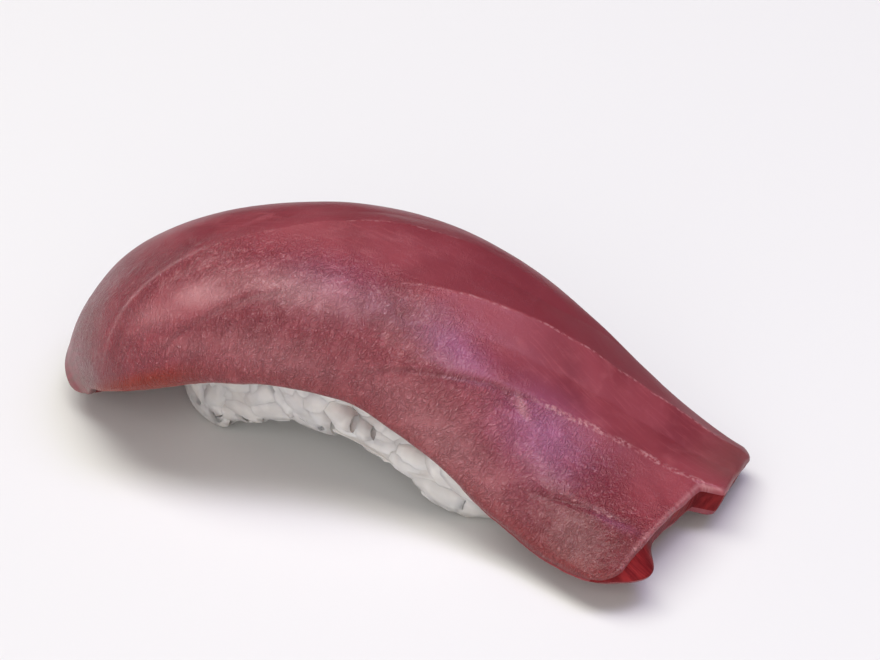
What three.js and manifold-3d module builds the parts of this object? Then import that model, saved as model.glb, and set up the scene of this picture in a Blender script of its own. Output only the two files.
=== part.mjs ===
// Tuna nigiri: a thick slice of raw tuna draped over a pressed block of sushi rice.
//
// Two solids: the slice, and the rice block with its outer grains fused on.
// Millimetres. +X runs along the slice towards its long low end, +Y to the back, +Z up.
// z = 0 is the surface that the rice stands on. The dimensions are laid out from a point near the
// rice's middle, and the whole piece is then shifted so that the origin is under its middle.

import * as THREE from "three";
import { mergeVertices } from "three/addons/utils/BufferGeometryUtils.js";
import Module from "manifold-3d";

// ---- Driving dimensions ---------------------------------------------------------------------

// The slice is drawn flat, as (along, across, depth), and then bent over the rice.
// Each list below holds one value a station, at equal steps from the steep end to the low end.
const SLICE_LENGTH = 83;
const SPINE_START = { x: -40.7, z: 6.3 };
const PITCH_DEG = [68, 31, 3, -22, -34, -9]; // slope of the spine
const LEAN_DEG = [14, 8, 6.5, 8, 6, -5.5]; // turn about the spine, back edge up
const FRONT_WIDTH = [14.3, 19.1, 18.7, 15.9, 14.7, 14.9]; // spine to front edge, over the surface
const BACK_WIDTH = [13, 14, 14, 14.1, 14.6, 15.2]; // spine to back edge, over the surface
const FRONT_WRAP_DEG = [71, 67, 58, 63, 54, 23]; // how far the front edge has turned down
const BACK_WRAP_DEG = [63, 68, 46, 40, 30, 15]; // how far the back edge has turned down
const SIDE_SHIFT = [-5, -5.4, -2.3, 0.4, 0.9, 0.8]; // spine's place across the rice
const THICKNESS = [4, 4.8, 5.2, 5.2, 4.6, 3.4];
const WRAP_POWER = 1.4; // above 1, the crown is flatter than the edges
const EDGE_THINNING = 0.12; // share of the thickness lost at the two long edges
const LOW_END_THINNING = { front: 0.55, back: 0.3, from: 0.55 }; // further share lost there towards the low end

// The slice's outline, cut edges and faces.
const TOP_ROUND = { radius: 1, mostShare: 0.5 }; // the upper edge's rounding, at most a share of the thickness
const UNDER_ROUND = { radius: 0.8, mostShare: 0.3 }; // likewise the lower edge's
const STEEP_END_BULGE = 1.6; // the middle of the steep end reaches further than its corners
const STEEP_END_LOBE = { reach: 1.1, from: 1, to: 7 }; // its front corner reaches further still
const STEEP_END_CORNER = 5.2; // corner radius in plan at the steep end
const LOW_END_CORNER = 2.2; // corner radius in plan at the low end
// The low end's cut face leans in at its foot by the least, and out by the gain more near one place across.
const LOW_END_SLANT = { least: -0.4, gain: 2.5, across: -10.8, reach: 3 };
const LOW_END_SLANT_START = 0.9; // share of the length at which the slant begins
const LOW_END_STEP = { across: 2.6, rise: 2.1, run: 1.5, fadesAt: 17 }; // the back strip reaches further

// Ridges between the slice's facets: three points (along, across) that each one runs through.
const RIDGES = [
  { path: [[19, -9.5], [35, 3.2], [55, 10.8]], height: 0.25, reach: 3.5 },
  { path: [[49, -0.3], [66, 9], [79, 12.5]], height: 0.55, reach: 5 },
  { path: [[51, -10.9], [65, -2.4], [83, 3.3]], height: 0.45, reach: 5 },
];
const RIDGE_FADE = 6; // length over which a ridge comes and goes

// The rice block.
const RICE_LENGTH = 43.5;
const RICE_WIDTH = 19.8;
const RICE_CENTRE = { x: -5.9, y: 0.3 };
const RICE_SQUARENESS = 3.6; // power of the footprint's superellipse
const RICE_WAIST = 6; // height of the widest level
const RICE_TOP = 26; // height before the slice's bed is cut
const RICE_FOOT_INSET = { x: 3.2, y: 0.9 }; // how far the foot is tucked in
const RICE_SHOULDER_INSET = { x: 2, y: 2.5 }; // how far the sides lean in at the top
const RICE_ARCH = { height: 6.3, span: 31.5, fadesAt: 11 }; // the underside lifts between its two feet
const BED_GAP = 0.35; // clearance between rice and slice

// The grains that show.
const GRAIN_LENGTH = 7;
const GRAIN_WIDTH = 3.4;
const GRAIN_THICKNESS = 2.8;
const GRAIN_SIDES = 7;
const GRAIN_RINGS = [-0.55, 0.55]; // places of its rings, as shares of its half-length
const GRAIN_BLUNTNESS = 2.6; // above 2, its ends are blunter than an ellipsoid's
const GRAIN_SINK = 0.6; // how far a grain's middle lies under the block's face
const GRAIN_FIRST_ROW = 1.9; // height of the lowest row's middle
const GRAIN_ROW_HEIGHT = 2.9;
const GRAIN_ROWS = 6;
const GRAINS_A_ROW = 23;
const UNDER_GRAINS = { reach: { x: 11, y: 6.6 }, step: { x: 4.4, y: 4.4 } }; // spread under the arch
const GRAIN_SIZE_SPREAD = 0.12;
const GRAIN_TURN_DEG = 75; // most that a grain turns from level
const GRAIN_LOW_TURN_DEG = 20; // likewise in the lowest row, so that it keeps the foot's outline
const GRAIN_TILT_DEG = 12; // most that it noses in or out
const RANDOM_SEED = 20731;

// Mesh density.
const SLICE_STEPS = 42;
const SLICE_ROWS = 18;
const SPINE_STEPS = 400;
const ARC_STEPS = 40;
const RICE_SIDES = 36;
const GIRTH_STEPS = 720;

// Brings the origin under the middle of the piece's bounding box.
const CENTRING = { x: 4.14, y: 2.16 };

const COLOURS = { tuna: 0x934450, rice: 0xd4d2cc };

// ---- Small helpers --------------------------------------------------------------------------

const wasm = await Module();
wasm.setup();

const radians = THREE.MathUtils.degToRad;
const clamp = THREE.MathUtils.clamp;
const smoothstep = THREE.MathUtils.smoothstep;

/** A repeatable random number between -1 and 1. */
function makeRandom(seed) {
  let state = seed;
  return () => {
    state = (state * 16807) % 2147483647;
    return (2 * state) / 2147483647 - 1;
  };
}

/** A smooth curve through one value a station, read at share 0 to 1. */
function alongStations(values, share) {
  const last = values.length - 1;
  const place = clamp(share, 0, 1) * last;
  const k = Math.min(Math.floor(place), last - 1);
  const t = place - k;
  const slope = (i) => {
    if (i === 0) return values[1] - values[0];
    if (i === last) return values[last] - values[last - 1];
    return (values[i + 1] - values[i - 1]) / 2;
  };
  const t2 = t * t;
  const t3 = t2 * t;
  return (
    (2 * t3 - 3 * t2 + 1) * values[k] +
    (t3 - 2 * t2 + t) * slope(k) +
    (3 * t2 - 2 * t3) * values[k + 1] +
    (t3 - t2) * slope(k + 1)
  );
}

/** The parabola through three points, read at x. */
function throughThree([[x0, y0], [x1, y1], [x2, y2]], x) {
  return (
    (y0 * (x - x1) * (x - x2)) / ((x0 - x1) * (x0 - x2)) +
    (y1 * (x - x0) * (x - x2)) / ((x1 - x0) * (x1 - x2)) +
    (y2 * (x - x0) * (x - x1)) / ((x2 - x0) * (x2 - x1))
  );
}

/** How far a rounded edge lies under the flat, at a distance from the edge. */
function roundDrop(distance, radius) {
  const inside = clamp(1 - distance / radius, 0, 1);
  return radius * (1 - Math.sqrt(1 - inside * inside));
}

/** A closed body from a list of points and a list of triangles. */
function bodyOf(points, triangles) {
  return new wasm.Manifold(
    new wasm.Mesh({
      numProp: 3,
      vertProperties: new Float32Array(points.flatMap((p) => [p.x, p.y, p.z])),
      triVerts: new Uint32Array(triangles.flat()),
    }),
  );
}

/** A closed body from a three.js geometry. */
function bodyOfGeometry(geometry) {
  const bare = new THREE.BufferGeometry().setAttribute("position", geometry.getAttribute("position"));
  if (geometry.index) bare.setIndex(geometry.index);
  const merged = mergeVertices(bare, 1e-4);
  return new wasm.Manifold(
    new wasm.Mesh({
      numProp: 3,
      vertProperties: merged.attributes.position.array,
      triVerts: new Uint32Array(merged.index.array),
    }),
  );
}

/** A three.js geometry from a closed body. */
function geometryOf(body) {
  const { vertProperties, triVerts } = body.getMesh();
  const geometry = new THREE.BufferGeometry();
  geometry.setAttribute("position", new THREE.BufferAttribute(new Float32Array(vertProperties), 3));
  geometry.setIndex(new THREE.BufferAttribute(new Uint32Array(triVerts), 1));
  geometry.computeVertexNormals();
  return geometry;
}

/** Triangles of a closed shell: an upper grid, a lower grid below it, and a wall round the border. */
function shellTriangles(columns, rows) {
  const lower = columns * rows;
  const at = (i, j) => i * rows + j;
  const triangles = [];
  const quad = (a, b, c, d) => triangles.push([a, b, c], [a, c, d]);
  for (let i = 0; i < columns - 1; i++) {
    for (let j = 0; j < rows - 1; j++) {
      quad(at(i, j), at(i + 1, j), at(i + 1, j + 1), at(i, j + 1));
      quad(lower + at(i, j), lower + at(i, j + 1), lower + at(i + 1, j + 1), lower + at(i + 1, j));
    }
  }
  for (let i = 0; i < columns - 1; i++) {
    const j = rows - 1;
    quad(lower + at(i, 0), lower + at(i + 1, 0), at(i + 1, 0), at(i, 0));
    quad(at(i, j), at(i + 1, j), lower + at(i + 1, j), lower + at(i, j));
  }
  for (let j = 0; j < rows - 1; j++) {
    const i = columns - 1;
    quad(at(0, j), at(0, j + 1), lower + at(0, j + 1), lower + at(0, j));
    quad(lower + at(i, j), lower + at(i, j + 1), at(i, j + 1), at(i, j));
  }
  return triangles;
}

// ---- The slice ------------------------------------------------------------------------------

/** The spine's side view: running sums of its pitch, from the steep end. */
function makeSpine() {
  const points = [{ ...SPINE_START }];
  const step = SLICE_LENGTH / SPINE_STEPS;
  for (let k = 0; k < SPINE_STEPS; k++) {
    const pitch = radians(alongStations(PITCH_DEG, (k + 0.5) / SPINE_STEPS));
    const { x, z } = points[k];
    points.push({ x: x + Math.cos(pitch) * step, z: z + Math.sin(pitch) * step });
  }
  return points;
}

const SPINE = makeSpine();

/** The spine's point and pitch at a distance along it; past the ends it runs straight on. */
function onSpine(along) {
  const share = clamp(along / SLICE_LENGTH, 0, 1);
  const place = share * SPINE_STEPS;
  const k = Math.min(Math.floor(place), SPINE_STEPS - 1);
  const t = place - k;
  const pitch = radians(alongStations(PITCH_DEG, share));
  const beyond = along - share * SLICE_LENGTH;
  return {
    x: SPINE[k].x * (1 - t) + SPINE[k + 1].x * t + Math.cos(pitch) * beyond,
    z: SPINE[k].z * (1 - t) + SPINE[k + 1].z * t + Math.sin(pitch) * beyond,
    pitch,
    share,
  };
}

/** Where a strip that turns down steadily towards its edge gets to: out, down and turn. */
function wrapped(distance, width, wrap) {
  const inside = Math.min(distance, width);
  const step = inside / ARC_STEPS;
  let out = 0;
  let down = 0;
  for (let k = 0; k < ARC_STEPS; k++) {
    const turn = wrap * ((k + 0.5) * step / width) ** WRAP_POWER;
    out += Math.cos(turn) * step;
    down += Math.sin(turn) * step;
  }
  const turn = wrap * (inside / width) ** WRAP_POWER;
  const beyond = distance - inside;
  return { out: out + Math.cos(turn) * beyond, down: down + Math.sin(turn) * beyond, turn };
}

/** A point of the flat slice, bent over the rice: along and across its face, lift off the face. */
function draped(along, across, lift) {
  const { x, z, pitch, share } = onSpine(along);
  const lean = radians(alongStations(LEAN_DEG, share));
  const side = across < 0 ? -1 : 1;
  const width = alongStations(side < 0 ? FRONT_WIDTH : BACK_WIDTH, share);
  const wrap = radians(alongStations(side < 0 ? FRONT_WRAP_DEG : BACK_WRAP_DEG, share));
  const { out, down, turn } = wrapped(Math.abs(across), width, wrap);

  const plainUp = new THREE.Vector3(-Math.sin(pitch), 0, Math.cos(pitch));
  const plainAcross = new THREE.Vector3(0, 1, 0);
  const up = plainUp.clone().multiplyScalar(Math.cos(lean)).addScaledVector(plainAcross, -Math.sin(lean));
  const over = plainAcross.clone().multiplyScalar(Math.cos(lean)).addScaledVector(plainUp, Math.sin(lean));

  return new THREE.Vector3(x, alongStations(SIDE_SHIFT, share), z)
    .addScaledVector(over, side * (out + Math.sin(turn) * lift))
    .addScaledVector(up, Math.cos(turn) * lift - down);
}

/** Height of the ridges between the facets of the upper face. */
function ridgeRelief(along, across) {
  let height = 0;
  for (const ridge of RIDGES) {
    const from = ridge.path[0][0];
    const to = ridge.path[2][0];
    const fadeIn = smoothstep(along, from - RIDGE_FADE, from + RIDGE_FADE);
    const fadeOut = 1 - smoothstep(along, to + 2, to + 2 + RIDGE_FADE);
    const offset = Math.abs(across - throughThree(ridge.path, along));
    height = Math.max(height, ridge.height * fadeIn * fadeOut * Math.max(0, 1 - offset / ridge.reach));
  }
  return height;
}

/** How much further than the spine the low end reaches, at a place across it. */
function lowEndReach(across) {
  const { across: start, rise, run, fadesAt } = LOW_END_STEP;
  const stepUp = smoothstep(across, start, start + run);
  const fade = clamp((fadesAt - across) / (fadesAt - start - run), 0, 1);
  return rise * stepUp * fade;
}

/** How far the low end's cut face leans out at its foot, at a place across it. */
function lowEndSlant(across) {
  const { least, gain, across: middle, reach } = LOW_END_SLANT;
  return least + gain * Math.exp(-(((across - middle) / reach) ** 2));
}

/** Shares across the slice, closer together at the two rounded edges. */
function sliceRows() {
  const edge = [0, 0.012, 0.04, 0.09];
  const inner = Array.from({ length: SLICE_ROWS - 5 }, (_, k) => 0.09 + (0.82 * (k + 1)) / (SLICE_ROWS - 4));
  return [...edge, ...inner, ...edge.toReversed().map((share) => 1 - share)];
}

/** Shares along the slice, closer together at the two cut ends. */
function sliceColumns() {
  const edge = [0, 0.004, 0.013];
  const inner = Array.from({ length: SLICE_STEPS }, (_, k) => 0.013 + (0.974 * (k + 1)) / (SLICE_STEPS + 1));
  return [...edge, ...inner, ...edge.toReversed().map((share) => 1 - share)];
}

/** The flat place of a grid point: how far along and across it lies, and its distances to the edges. */
function flatPlace(shareAlong, shareAcross) {
  const station = clamp(shareAlong, 0, 1);
  const front = alongStations(FRONT_WIDTH, station);
  const back = alongStations(BACK_WIDTH, station);
  const across = -front + shareAcross * (front + back);
  const toSide = Math.min(across + front, back - across);
  const lobe = STEEP_END_LOBE.reach * smoothstep(-across, STEEP_END_LOBE.from, STEEP_END_LOBE.to);
  const bulge = STEEP_END_BULGE * (1 - (2 * shareAcross - 1) ** 2);
  const start = roundDrop(toSide, STEEP_END_CORNER) - bulge - lobe;
  const end = SLICE_LENGTH + lowEndReach(across) - roundDrop(toSide, LOW_END_CORNER);
  const along = start + shareAlong * (end - start);
  return { along, across, toSide, toEnd: Math.min(along - start, end - along), station };
}

/** Thickness of the slice at a flat place. */
function thicknessAt({ station, across }) {
  const width = alongStations(across < 0 ? FRONT_WIDTH : BACK_WIDTH, station);
  const share = Math.min(1, Math.abs(across) / width);
  const { front, back, from } = LOW_END_THINNING;
  const lowEnd = (across < 0 ? front : back) * smoothstep(station, from, 1);
  return alongStations(THICKNESS, station) * (1 - EDGE_THINNING * share ** 4 - lowEnd * share ** 2);
}

/** The bent slab of tuna, as one closed body. */
function tunaSlice() {
  const columns = sliceColumns();
  const rows = sliceRows();
  const upper = [];
  const lower = [];
  for (const shareAlong of columns) {
    for (const shareAcross of rows) {
      const place = flatPlace(shareAlong, shareAcross);
      const { along, across, toSide, toEnd } = place;
      const thickness = thicknessAt(place);
      const drop = (round) => {
        const radius = Math.min(round.radius, round.mostShare * thickness);
        return roundDrop(radius - Math.hypot(Math.max(0, radius - toSide), Math.max(0, radius - toEnd)), radius);
      };
      const slant = lowEndSlant(across) * smoothstep(shareAlong, LOW_END_SLANT_START, 1);
      upper.push(draped(along, across, ridgeRelief(along, across) - drop(TOP_ROUND)));
      lower.push(draped(along + slant, across, drop(UNDER_ROUND) - thickness));
    }
  }
  return bodyOf([...upper, ...lower], shellTriangles(columns.length, rows.length));
}

// ---- The rice -------------------------------------------------------------------------------

/** How far the rice's side is tucked in at a height, along one axis of the footprint. */
function riceInset(height, axis) {
  if (height < RICE_WAIST) {
    const below = (RICE_WAIST - height) / RICE_WAIST;
    return RICE_FOOT_INSET[axis] * (1 - Math.sqrt(Math.max(0, 1 - below * below)));
  }
  const above = (height - RICE_WAIST) / (RICE_TOP - RICE_WAIST);
  return RICE_SHOULDER_INSET[axis] * above * above;
}

/** How far the underside is lifted at a place along the block. */
function archLift(x, height) {
  const share = clamp((2 * (x - RICE_CENTRE.x)) / RICE_ARCH.span, -1, 1);
  const fade = clamp(1 - height / RICE_ARCH.fadesAt, 0, 1);
  return RICE_ARCH.height * (1 - share * share) * fade;
}

/** A point of the block's side: turn round it, height up it, and share out from its middle. */
function onRice(turn, height, share = 1) {
  const power = 2 / RICE_SQUARENESS;
  const spread = (part, half) => Math.sign(part) * Math.abs(part) ** power * half * share;
  const x = RICE_CENTRE.x + spread(Math.cos(turn), RICE_LENGTH / 2 - riceInset(height, "x"));
  const y = RICE_CENTRE.y + spread(Math.sin(turn), RICE_WIDTH / 2 - riceInset(height, "y"));
  return new THREE.Vector3(x, y, height + archLift(x, height));
}

/** Running lengths round the block's widest level, at equal turns. */
function makeGirth() {
  const lengths = [0];
  for (let k = 1; k <= GIRTH_STEPS; k++) {
    const here = onRice((2 * Math.PI * k) / GIRTH_STEPS, RICE_WAIST);
    const before = onRice((2 * Math.PI * (k - 1)) / GIRTH_STEPS, RICE_WAIST);
    lengths.push(lengths[k - 1] + Math.hypot(here.x - before.x, here.y - before.y));
  }
  return lengths;
}

const GIRTH = makeGirth();

/** The turn at a share of the way round the block. */
function turnAt(share) {
  const wanted = (share - Math.floor(share)) * GIRTH[GIRTH_STEPS];
  const k = Math.max(1, GIRTH.findIndex((length) => length >= wanted));
  const part = (wanted - GIRTH[k - 1]) / (GIRTH[k] - GIRTH[k - 1]);
  return (2 * Math.PI * (k - 1 + part)) / GIRTH_STEPS;
}

/** The plain block under the grains, before the slice's bed is cut. */
function riceCore() {
  const levels = [0, 0.4, 1.3, 2.8, RICE_WAIST, 12, RICE_TOP];
  const shares = [0.26, 0.5, 0.7, 0.86];
  const rings = [
    ...shares.map((share) => ({ height: 0, share })),
    ...levels.map((height) => ({ height, share: 1 })),
    ...shares.toReversed().map((share) => ({ height: RICE_TOP, share })),
  ];
  const points = [];
  const triangles = [];
  rings.forEach(({ height, share }, r) => {
    for (let k = 0; k < RICE_SIDES; k++) {
      points.push(onRice(turnAt((k + 0.5) / RICE_SIDES), height, share));
      if (r === 0) continue;
      const next = (k + 1) % RICE_SIDES;
      const [a, b] = [(r - 1) * RICE_SIDES + k, (r - 1) * RICE_SIDES + next];
      const [c, d] = [r * RICE_SIDES + next, r * RICE_SIDES + k];
      triangles.push([a, b, c], [a, c, d]);
    }
  });
  const foot = points.push(onRice(0, 0, 0)) - 1;
  const crown = points.push(onRice(0, RICE_TOP, 0)) - 1;
  const topRing = (rings.length - 1) * RICE_SIDES;
  for (let k = 0; k < RICE_SIDES; k++) {
    const next = (k + 1) % RICE_SIDES;
    triangles.push([foot, next, k], [crown, topRing + k, topRing + next]);
  }
  return bodyOf(points, triangles);
}

/** One plump grain, its long way along +X. */
function grainPoints(size) {
  const half = (GRAIN_LENGTH * size) / 2;
  const points = [new THREE.Vector3(-half, 0, 0)];
  for (const place of GRAIN_RINGS) {
    const girth = (1 - Math.abs(place) ** GRAIN_BLUNTNESS) ** (1 / GRAIN_BLUNTNESS);
    for (let k = 0; k < GRAIN_SIDES; k++) {
      const turn = (2 * Math.PI * k) / GRAIN_SIDES;
      points.push(
        new THREE.Vector3(
          place * half,
          ((Math.cos(turn) * GRAIN_WIDTH * size) / 2) * girth,
          ((Math.sin(turn) * GRAIN_THICKNESS * size) / 2) * girth,
        ),
      );
    }
  }
  points.push(new THREE.Vector3(half, 0, 0));
  return points;
}

/** The triangles of one grain: two tips and the bands between its rings. */
function grainTriangles() {
  const triangles = [];
  const tip = 1 + GRAIN_RINGS.length * GRAIN_SIDES;
  const lastRing = tip - GRAIN_SIDES;
  for (let k = 0; k < GRAIN_SIDES; k++) {
    const next = (k + 1) % GRAIN_SIDES;
    triangles.push([0, 1 + next, 1 + k], [tip, lastRing + k, lastRing + next]);
    for (let r = 0; r < GRAIN_RINGS.length - 1; r++) {
      const near = 1 + r * GRAIN_SIDES;
      const far = near + GRAIN_SIDES;
      triangles.push([near + k, near + next, far + next], [near + k, far + next, far + k]);
    }
  }
  return triangles;
}

/** A grain lying on the block's face: its middle, the face's outward way, and the most that it turns. */
function layGrain(middle, outward, mostTurnDeg, random) {
  const level = new THREE.Vector3(-outward.y, outward.x, 0);
  if (level.lengthSq() < 1e-6) level.set(1, 0, 0);
  level.normalize().applyAxisAngle(outward, radians(mostTurnDeg) * random());
  const nosed = level.clone().addScaledVector(outward, Math.tan(radians(GRAIN_TILT_DEG) * random())).normalize();
  const side = outward.clone().cross(nosed).normalize();
  const out = nosed.clone().cross(side);
  const frame = new THREE.Matrix4().makeBasis(nosed, side, out).setPosition(middle);
  const size = 1 + GRAIN_SIZE_SPREAD * random();
  return bodyOf(grainPoints(size).map((point) => point.applyMatrix4(frame)), grainTriangles());
}

/** Grains in level rows round the block's side. */
function sideGrains(random) {
  const grains = [];
  for (let row = 0; row < GRAIN_ROWS; row++) {
    const height = GRAIN_FIRST_ROW + row * GRAIN_ROW_HEIGHT;
    const mostTurnDeg = row === 0 ? GRAIN_LOW_TURN_DEG : GRAIN_TURN_DEG;
    for (let k = 0; k < GRAINS_A_ROW; k++) {
      const turn = turnAt((k + 0.5 * (row % 2) + 0.25 * random()) / GRAINS_A_ROW);
      const level = height + 0.4 * random();
      const middle = onRice(turn, level);
      const ahead = onRice(turn + 0.02, level).sub(middle);
      const above = onRice(turn, level + 0.2).sub(middle);
      const outward = ahead.cross(above).normalize();
      grains.push(layGrain(middle.addScaledVector(outward, -GRAIN_SINK), outward, mostTurnDeg, random));
    }
  }
  return grains;
}

/** Grains under the arch, in staggered rows across the block. */
function underGrains(random) {
  const grains = [];
  const down = new THREE.Vector3(0, 0, -1);
  const { reach, step } = UNDER_GRAINS;
  for (let x = -reach.x, row = 0; x <= reach.x; x += step.x, row++) {
    for (let y = -reach.y + (row % 2) * (step.y / 2); y <= reach.y; y += step.y) {
      const middle = new THREE.Vector3(RICE_CENTRE.x + x + random(), RICE_CENTRE.y + y + 0.5 * random(), 0);
      middle.z = archLift(middle.x, 0) + GRAIN_SINK;
      grains.push(layGrain(middle, down, GRAIN_TURN_DEG, random));
    }
  }
  return grains;
}

/** Everything above the slice's underside, with the clearance under it: what the rice stays out of. */
function sliceBed() {
  const shares = (count) => Array.from({ length: count }, (_, k) => k / (count - 1));
  const columns = [0, ...shares(31), 1];
  const rows = [0, ...shares(15), 1];
  const sheet = [];
  const lid = [];
  columns.forEach((shareAlong, i) => {
    rows.forEach((shareAcross, j) => {
      const place = flatPlace(shareAlong, shareAcross);
      const border = i === 0 || j === 0 || i === columns.length - 1 || j === rows.length - 1;
      const past = (k, last) => (k === 0 ? -BED_GAP : 0) + (k === last ? BED_GAP : 0);
      const lift = border ? 0 : -thicknessAt(place) - BED_GAP;
      const alongPast = past(i, columns.length - 1) + past(i - 1, columns.length - 3);
      const acrossPast = past(j, rows.length - 1) + past(j - 1, rows.length - 3);
      const point = draped(place.along + alongPast, place.across + acrossPast, lift);
      sheet.push(point);
      lid.push(new THREE.Vector3(point.x, point.y, RICE_TOP + 10));
    });
  });
  return bodyOf([...lid, ...sheet], shellTriangles(columns.length, rows.length));
}

/** The largest piece of a body: sealed pockets and loose scraps are left out. */
function mainPiece(body) {
  return body.decompose().reduce((best, piece) => (piece.volume() > best.volume() ? piece : best));
}

/** The rice block: the core and its grains in one piece, bedded under the slice, flat at its feet. */
function riceBlock() {
  const random = makeRandom(RANDOM_SEED);
  const heap = wasm.Manifold.union([riceCore(), ...sideGrains(random), ...underGrains(random)]);
  const floor = new THREE.BoxGeometry(RICE_LENGTH * 2, RICE_WIDTH * 2, 10).translate(0, 0, -5);
  return mainPiece(heap.subtract(sliceBed()).subtract(bodyOfGeometry(floor)));
}

// ---- The piece ------------------------------------------------------------------------------

/** A named solid with its own finish. */
function named(name, body, color, roughness) {
  const finish = new THREE.MeshStandardMaterial({ color, roughness, metalness: 0 });
  const mesh = new THREE.Mesh(geometryOf(body), finish);
  mesh.name = name;
  return mesh;
}

const nigiri = new THREE.Group();
nigiri.add(named("rice_block", riceBlock(), COLOURS.rice, 0.5));
nigiri.add(named("tuna_slice", tunaSlice(), COLOURS.tuna, 0.35));
nigiri.position.set(CENTRING.x, CENTRING.y, 0);

export default nigiri;
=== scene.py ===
"""Tuna nigiri: the finished look of a slice of raw tuna draped over a block of pressed rice.

The slice is worked out flat, as (along, across, depth) in millimetres, and then bent over the rice.
The rice is a plain core with cooked grains laid on it. Both are made in the solids' own place, so
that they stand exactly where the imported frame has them.
"""

from __future__ import annotations

import logging
import math
from dataclasses import dataclass, field
from enum import Enum
from functools import reduce

import bpy
import numpy as np
from mathutils import Matrix, Vector

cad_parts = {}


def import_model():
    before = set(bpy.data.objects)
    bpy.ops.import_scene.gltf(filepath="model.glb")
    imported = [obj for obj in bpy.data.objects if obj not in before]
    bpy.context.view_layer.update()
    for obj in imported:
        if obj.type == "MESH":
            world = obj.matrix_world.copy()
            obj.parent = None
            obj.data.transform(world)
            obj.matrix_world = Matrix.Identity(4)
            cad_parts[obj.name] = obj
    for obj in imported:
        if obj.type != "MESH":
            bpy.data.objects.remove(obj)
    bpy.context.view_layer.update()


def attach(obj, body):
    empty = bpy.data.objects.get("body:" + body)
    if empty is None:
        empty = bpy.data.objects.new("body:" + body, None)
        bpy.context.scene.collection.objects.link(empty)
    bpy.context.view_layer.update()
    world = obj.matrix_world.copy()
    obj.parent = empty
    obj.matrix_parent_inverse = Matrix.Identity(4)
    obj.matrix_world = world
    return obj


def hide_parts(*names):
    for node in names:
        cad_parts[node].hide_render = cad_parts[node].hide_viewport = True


Array = np.ndarray
Colour = tuple[float, float, float]
Numbers = tuple[float, ...]  # how many, and what each is, stands at the value
Socket = bpy.types.NodeSocket
Inputs = dict[int | str, object]  # for each input's name or number, a value or the socket that feeds it
Thing = bpy.types.Object

MM = 0.001  # metres in a millimetre
CENTRING = np.array([4.14, 2.16, 0.0])  # from the layout's own middle to the frame's, in mm
SMALL = 1e-9  # mm, keeps a range's last step in it

log = logging.getLogger("tuna_nigiri")


# ---- Small helpers --------------------------------------------------------------------------


def smoothstep(value: Array, start: float, end: float) -> Array:
    """0 before start, 1 after end, and 3t^2 - 2t^3 of the share t between them."""
    share = np.clip((value - start) / (end - start), 0.0, 1.0)
    return share * share * (3.0 - 2.0 * share)


def window(value: Array, rise: Numbers, fall: Numbers) -> Array:
    """1 between two smooth steps: up over the first stretch, down over the second."""
    return smoothstep(value, *rise) * (1.0 - smoothstep(value, *fall))


def stretch(value: Array, start: float, end: float, fades: Numbers) -> Array:
    """1 from start to end, by two smooth steps.

    Args:
        value: where to read it.
        start: where the stretch begins.
        end: where it ends.
        fades: how far before and past the start, and before and past the end, the steps reach.

    Returns:
        The stretch at each place, 0 to 1.
    """
    before, after, short, past = fades
    return window(value, (start - before, start + after), (end - short, end + past))


def along_stations(values: Numbers, share: Array) -> Array:
    """A smooth curve through equally spaced values: cubics, with the mean slope at each value.

    Args:
        values: one value a station.
        share: where to read it, 0 at the first station and 1 at the last.

    Returns:
        The curve's values, in the shape of share.
    """
    knots = np.asarray(values, float)
    slopes = np.gradient(knots)
    last = len(knots) - 1
    place = np.clip(share, 0.0, 1.0) * last
    k = np.minimum(place.astype(int), last - 1)
    t = place - k
    t2, t3 = t * t, t * t * t
    return (
        (2 * t3 - 3 * t2 + 1) * knots[k]
        + (t3 - 2 * t2 + t) * slopes[k]
        + (3 * t2 - 2 * t3) * knots[k + 1]
        + (t3 - t2) * slopes[k + 1]
    )


def through_three(path: tuple[Numbers, ...], x: Array) -> Array:
    """The parabola through three points: each y times the product that is 1 there and 0 at the others.

    Args:
        path: the three points.
        x: where to read it.

    Returns:
        The parabola's y at each x.
    """
    (x0, y0), (x1, y1), (x2, y2) = path
    return (
        y0 * (x - x1) * (x - x2) / ((x0 - x1) * (x0 - x2))
        + y1 * (x - x0) * (x - x2) / ((x1 - x0) * (x1 - x2))
        + y2 * (x - x0) * (x - x1) / ((x2 - x0) * (x2 - x1))
    )


def round_drop(distance: Array, radius: float) -> Array:
    """How far a rounded edge lies under the flat, at a distance from the edge: a quarter circle."""
    inside = np.clip(1.0 - distance / radius, 0.0, 1.0)
    return radius * (1.0 - np.sqrt(1.0 - inside * inside))


def unit(vectors: Array) -> Array:
    """Vectors along the last axis, each divided by its length."""
    return vectors / np.linalg.norm(vectors, axis=-1, keepdims=True)


def edged_shares(count: int, edge: float, edge_count: int) -> Array:
    """Shares from 0 to 1 that crowd towards both ends by a power of 1.5, with equal steps between.

    Args:
        count: how many equal steps the middle has.
        edge: the share that each crowded end takes.
        edge_count: how many steps each crowded end has.

    Returns:
        The shares, count + 2 * edge_count + 1 of them.
    """
    rise = edge * (np.arange(edge_count) / edge_count) ** 1.5
    middle = edge + (1.0 - 2.0 * edge) * np.arange(count + 1) / count
    return np.concatenate([rise, middle, (1.0 - rise)[::-1]])


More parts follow.
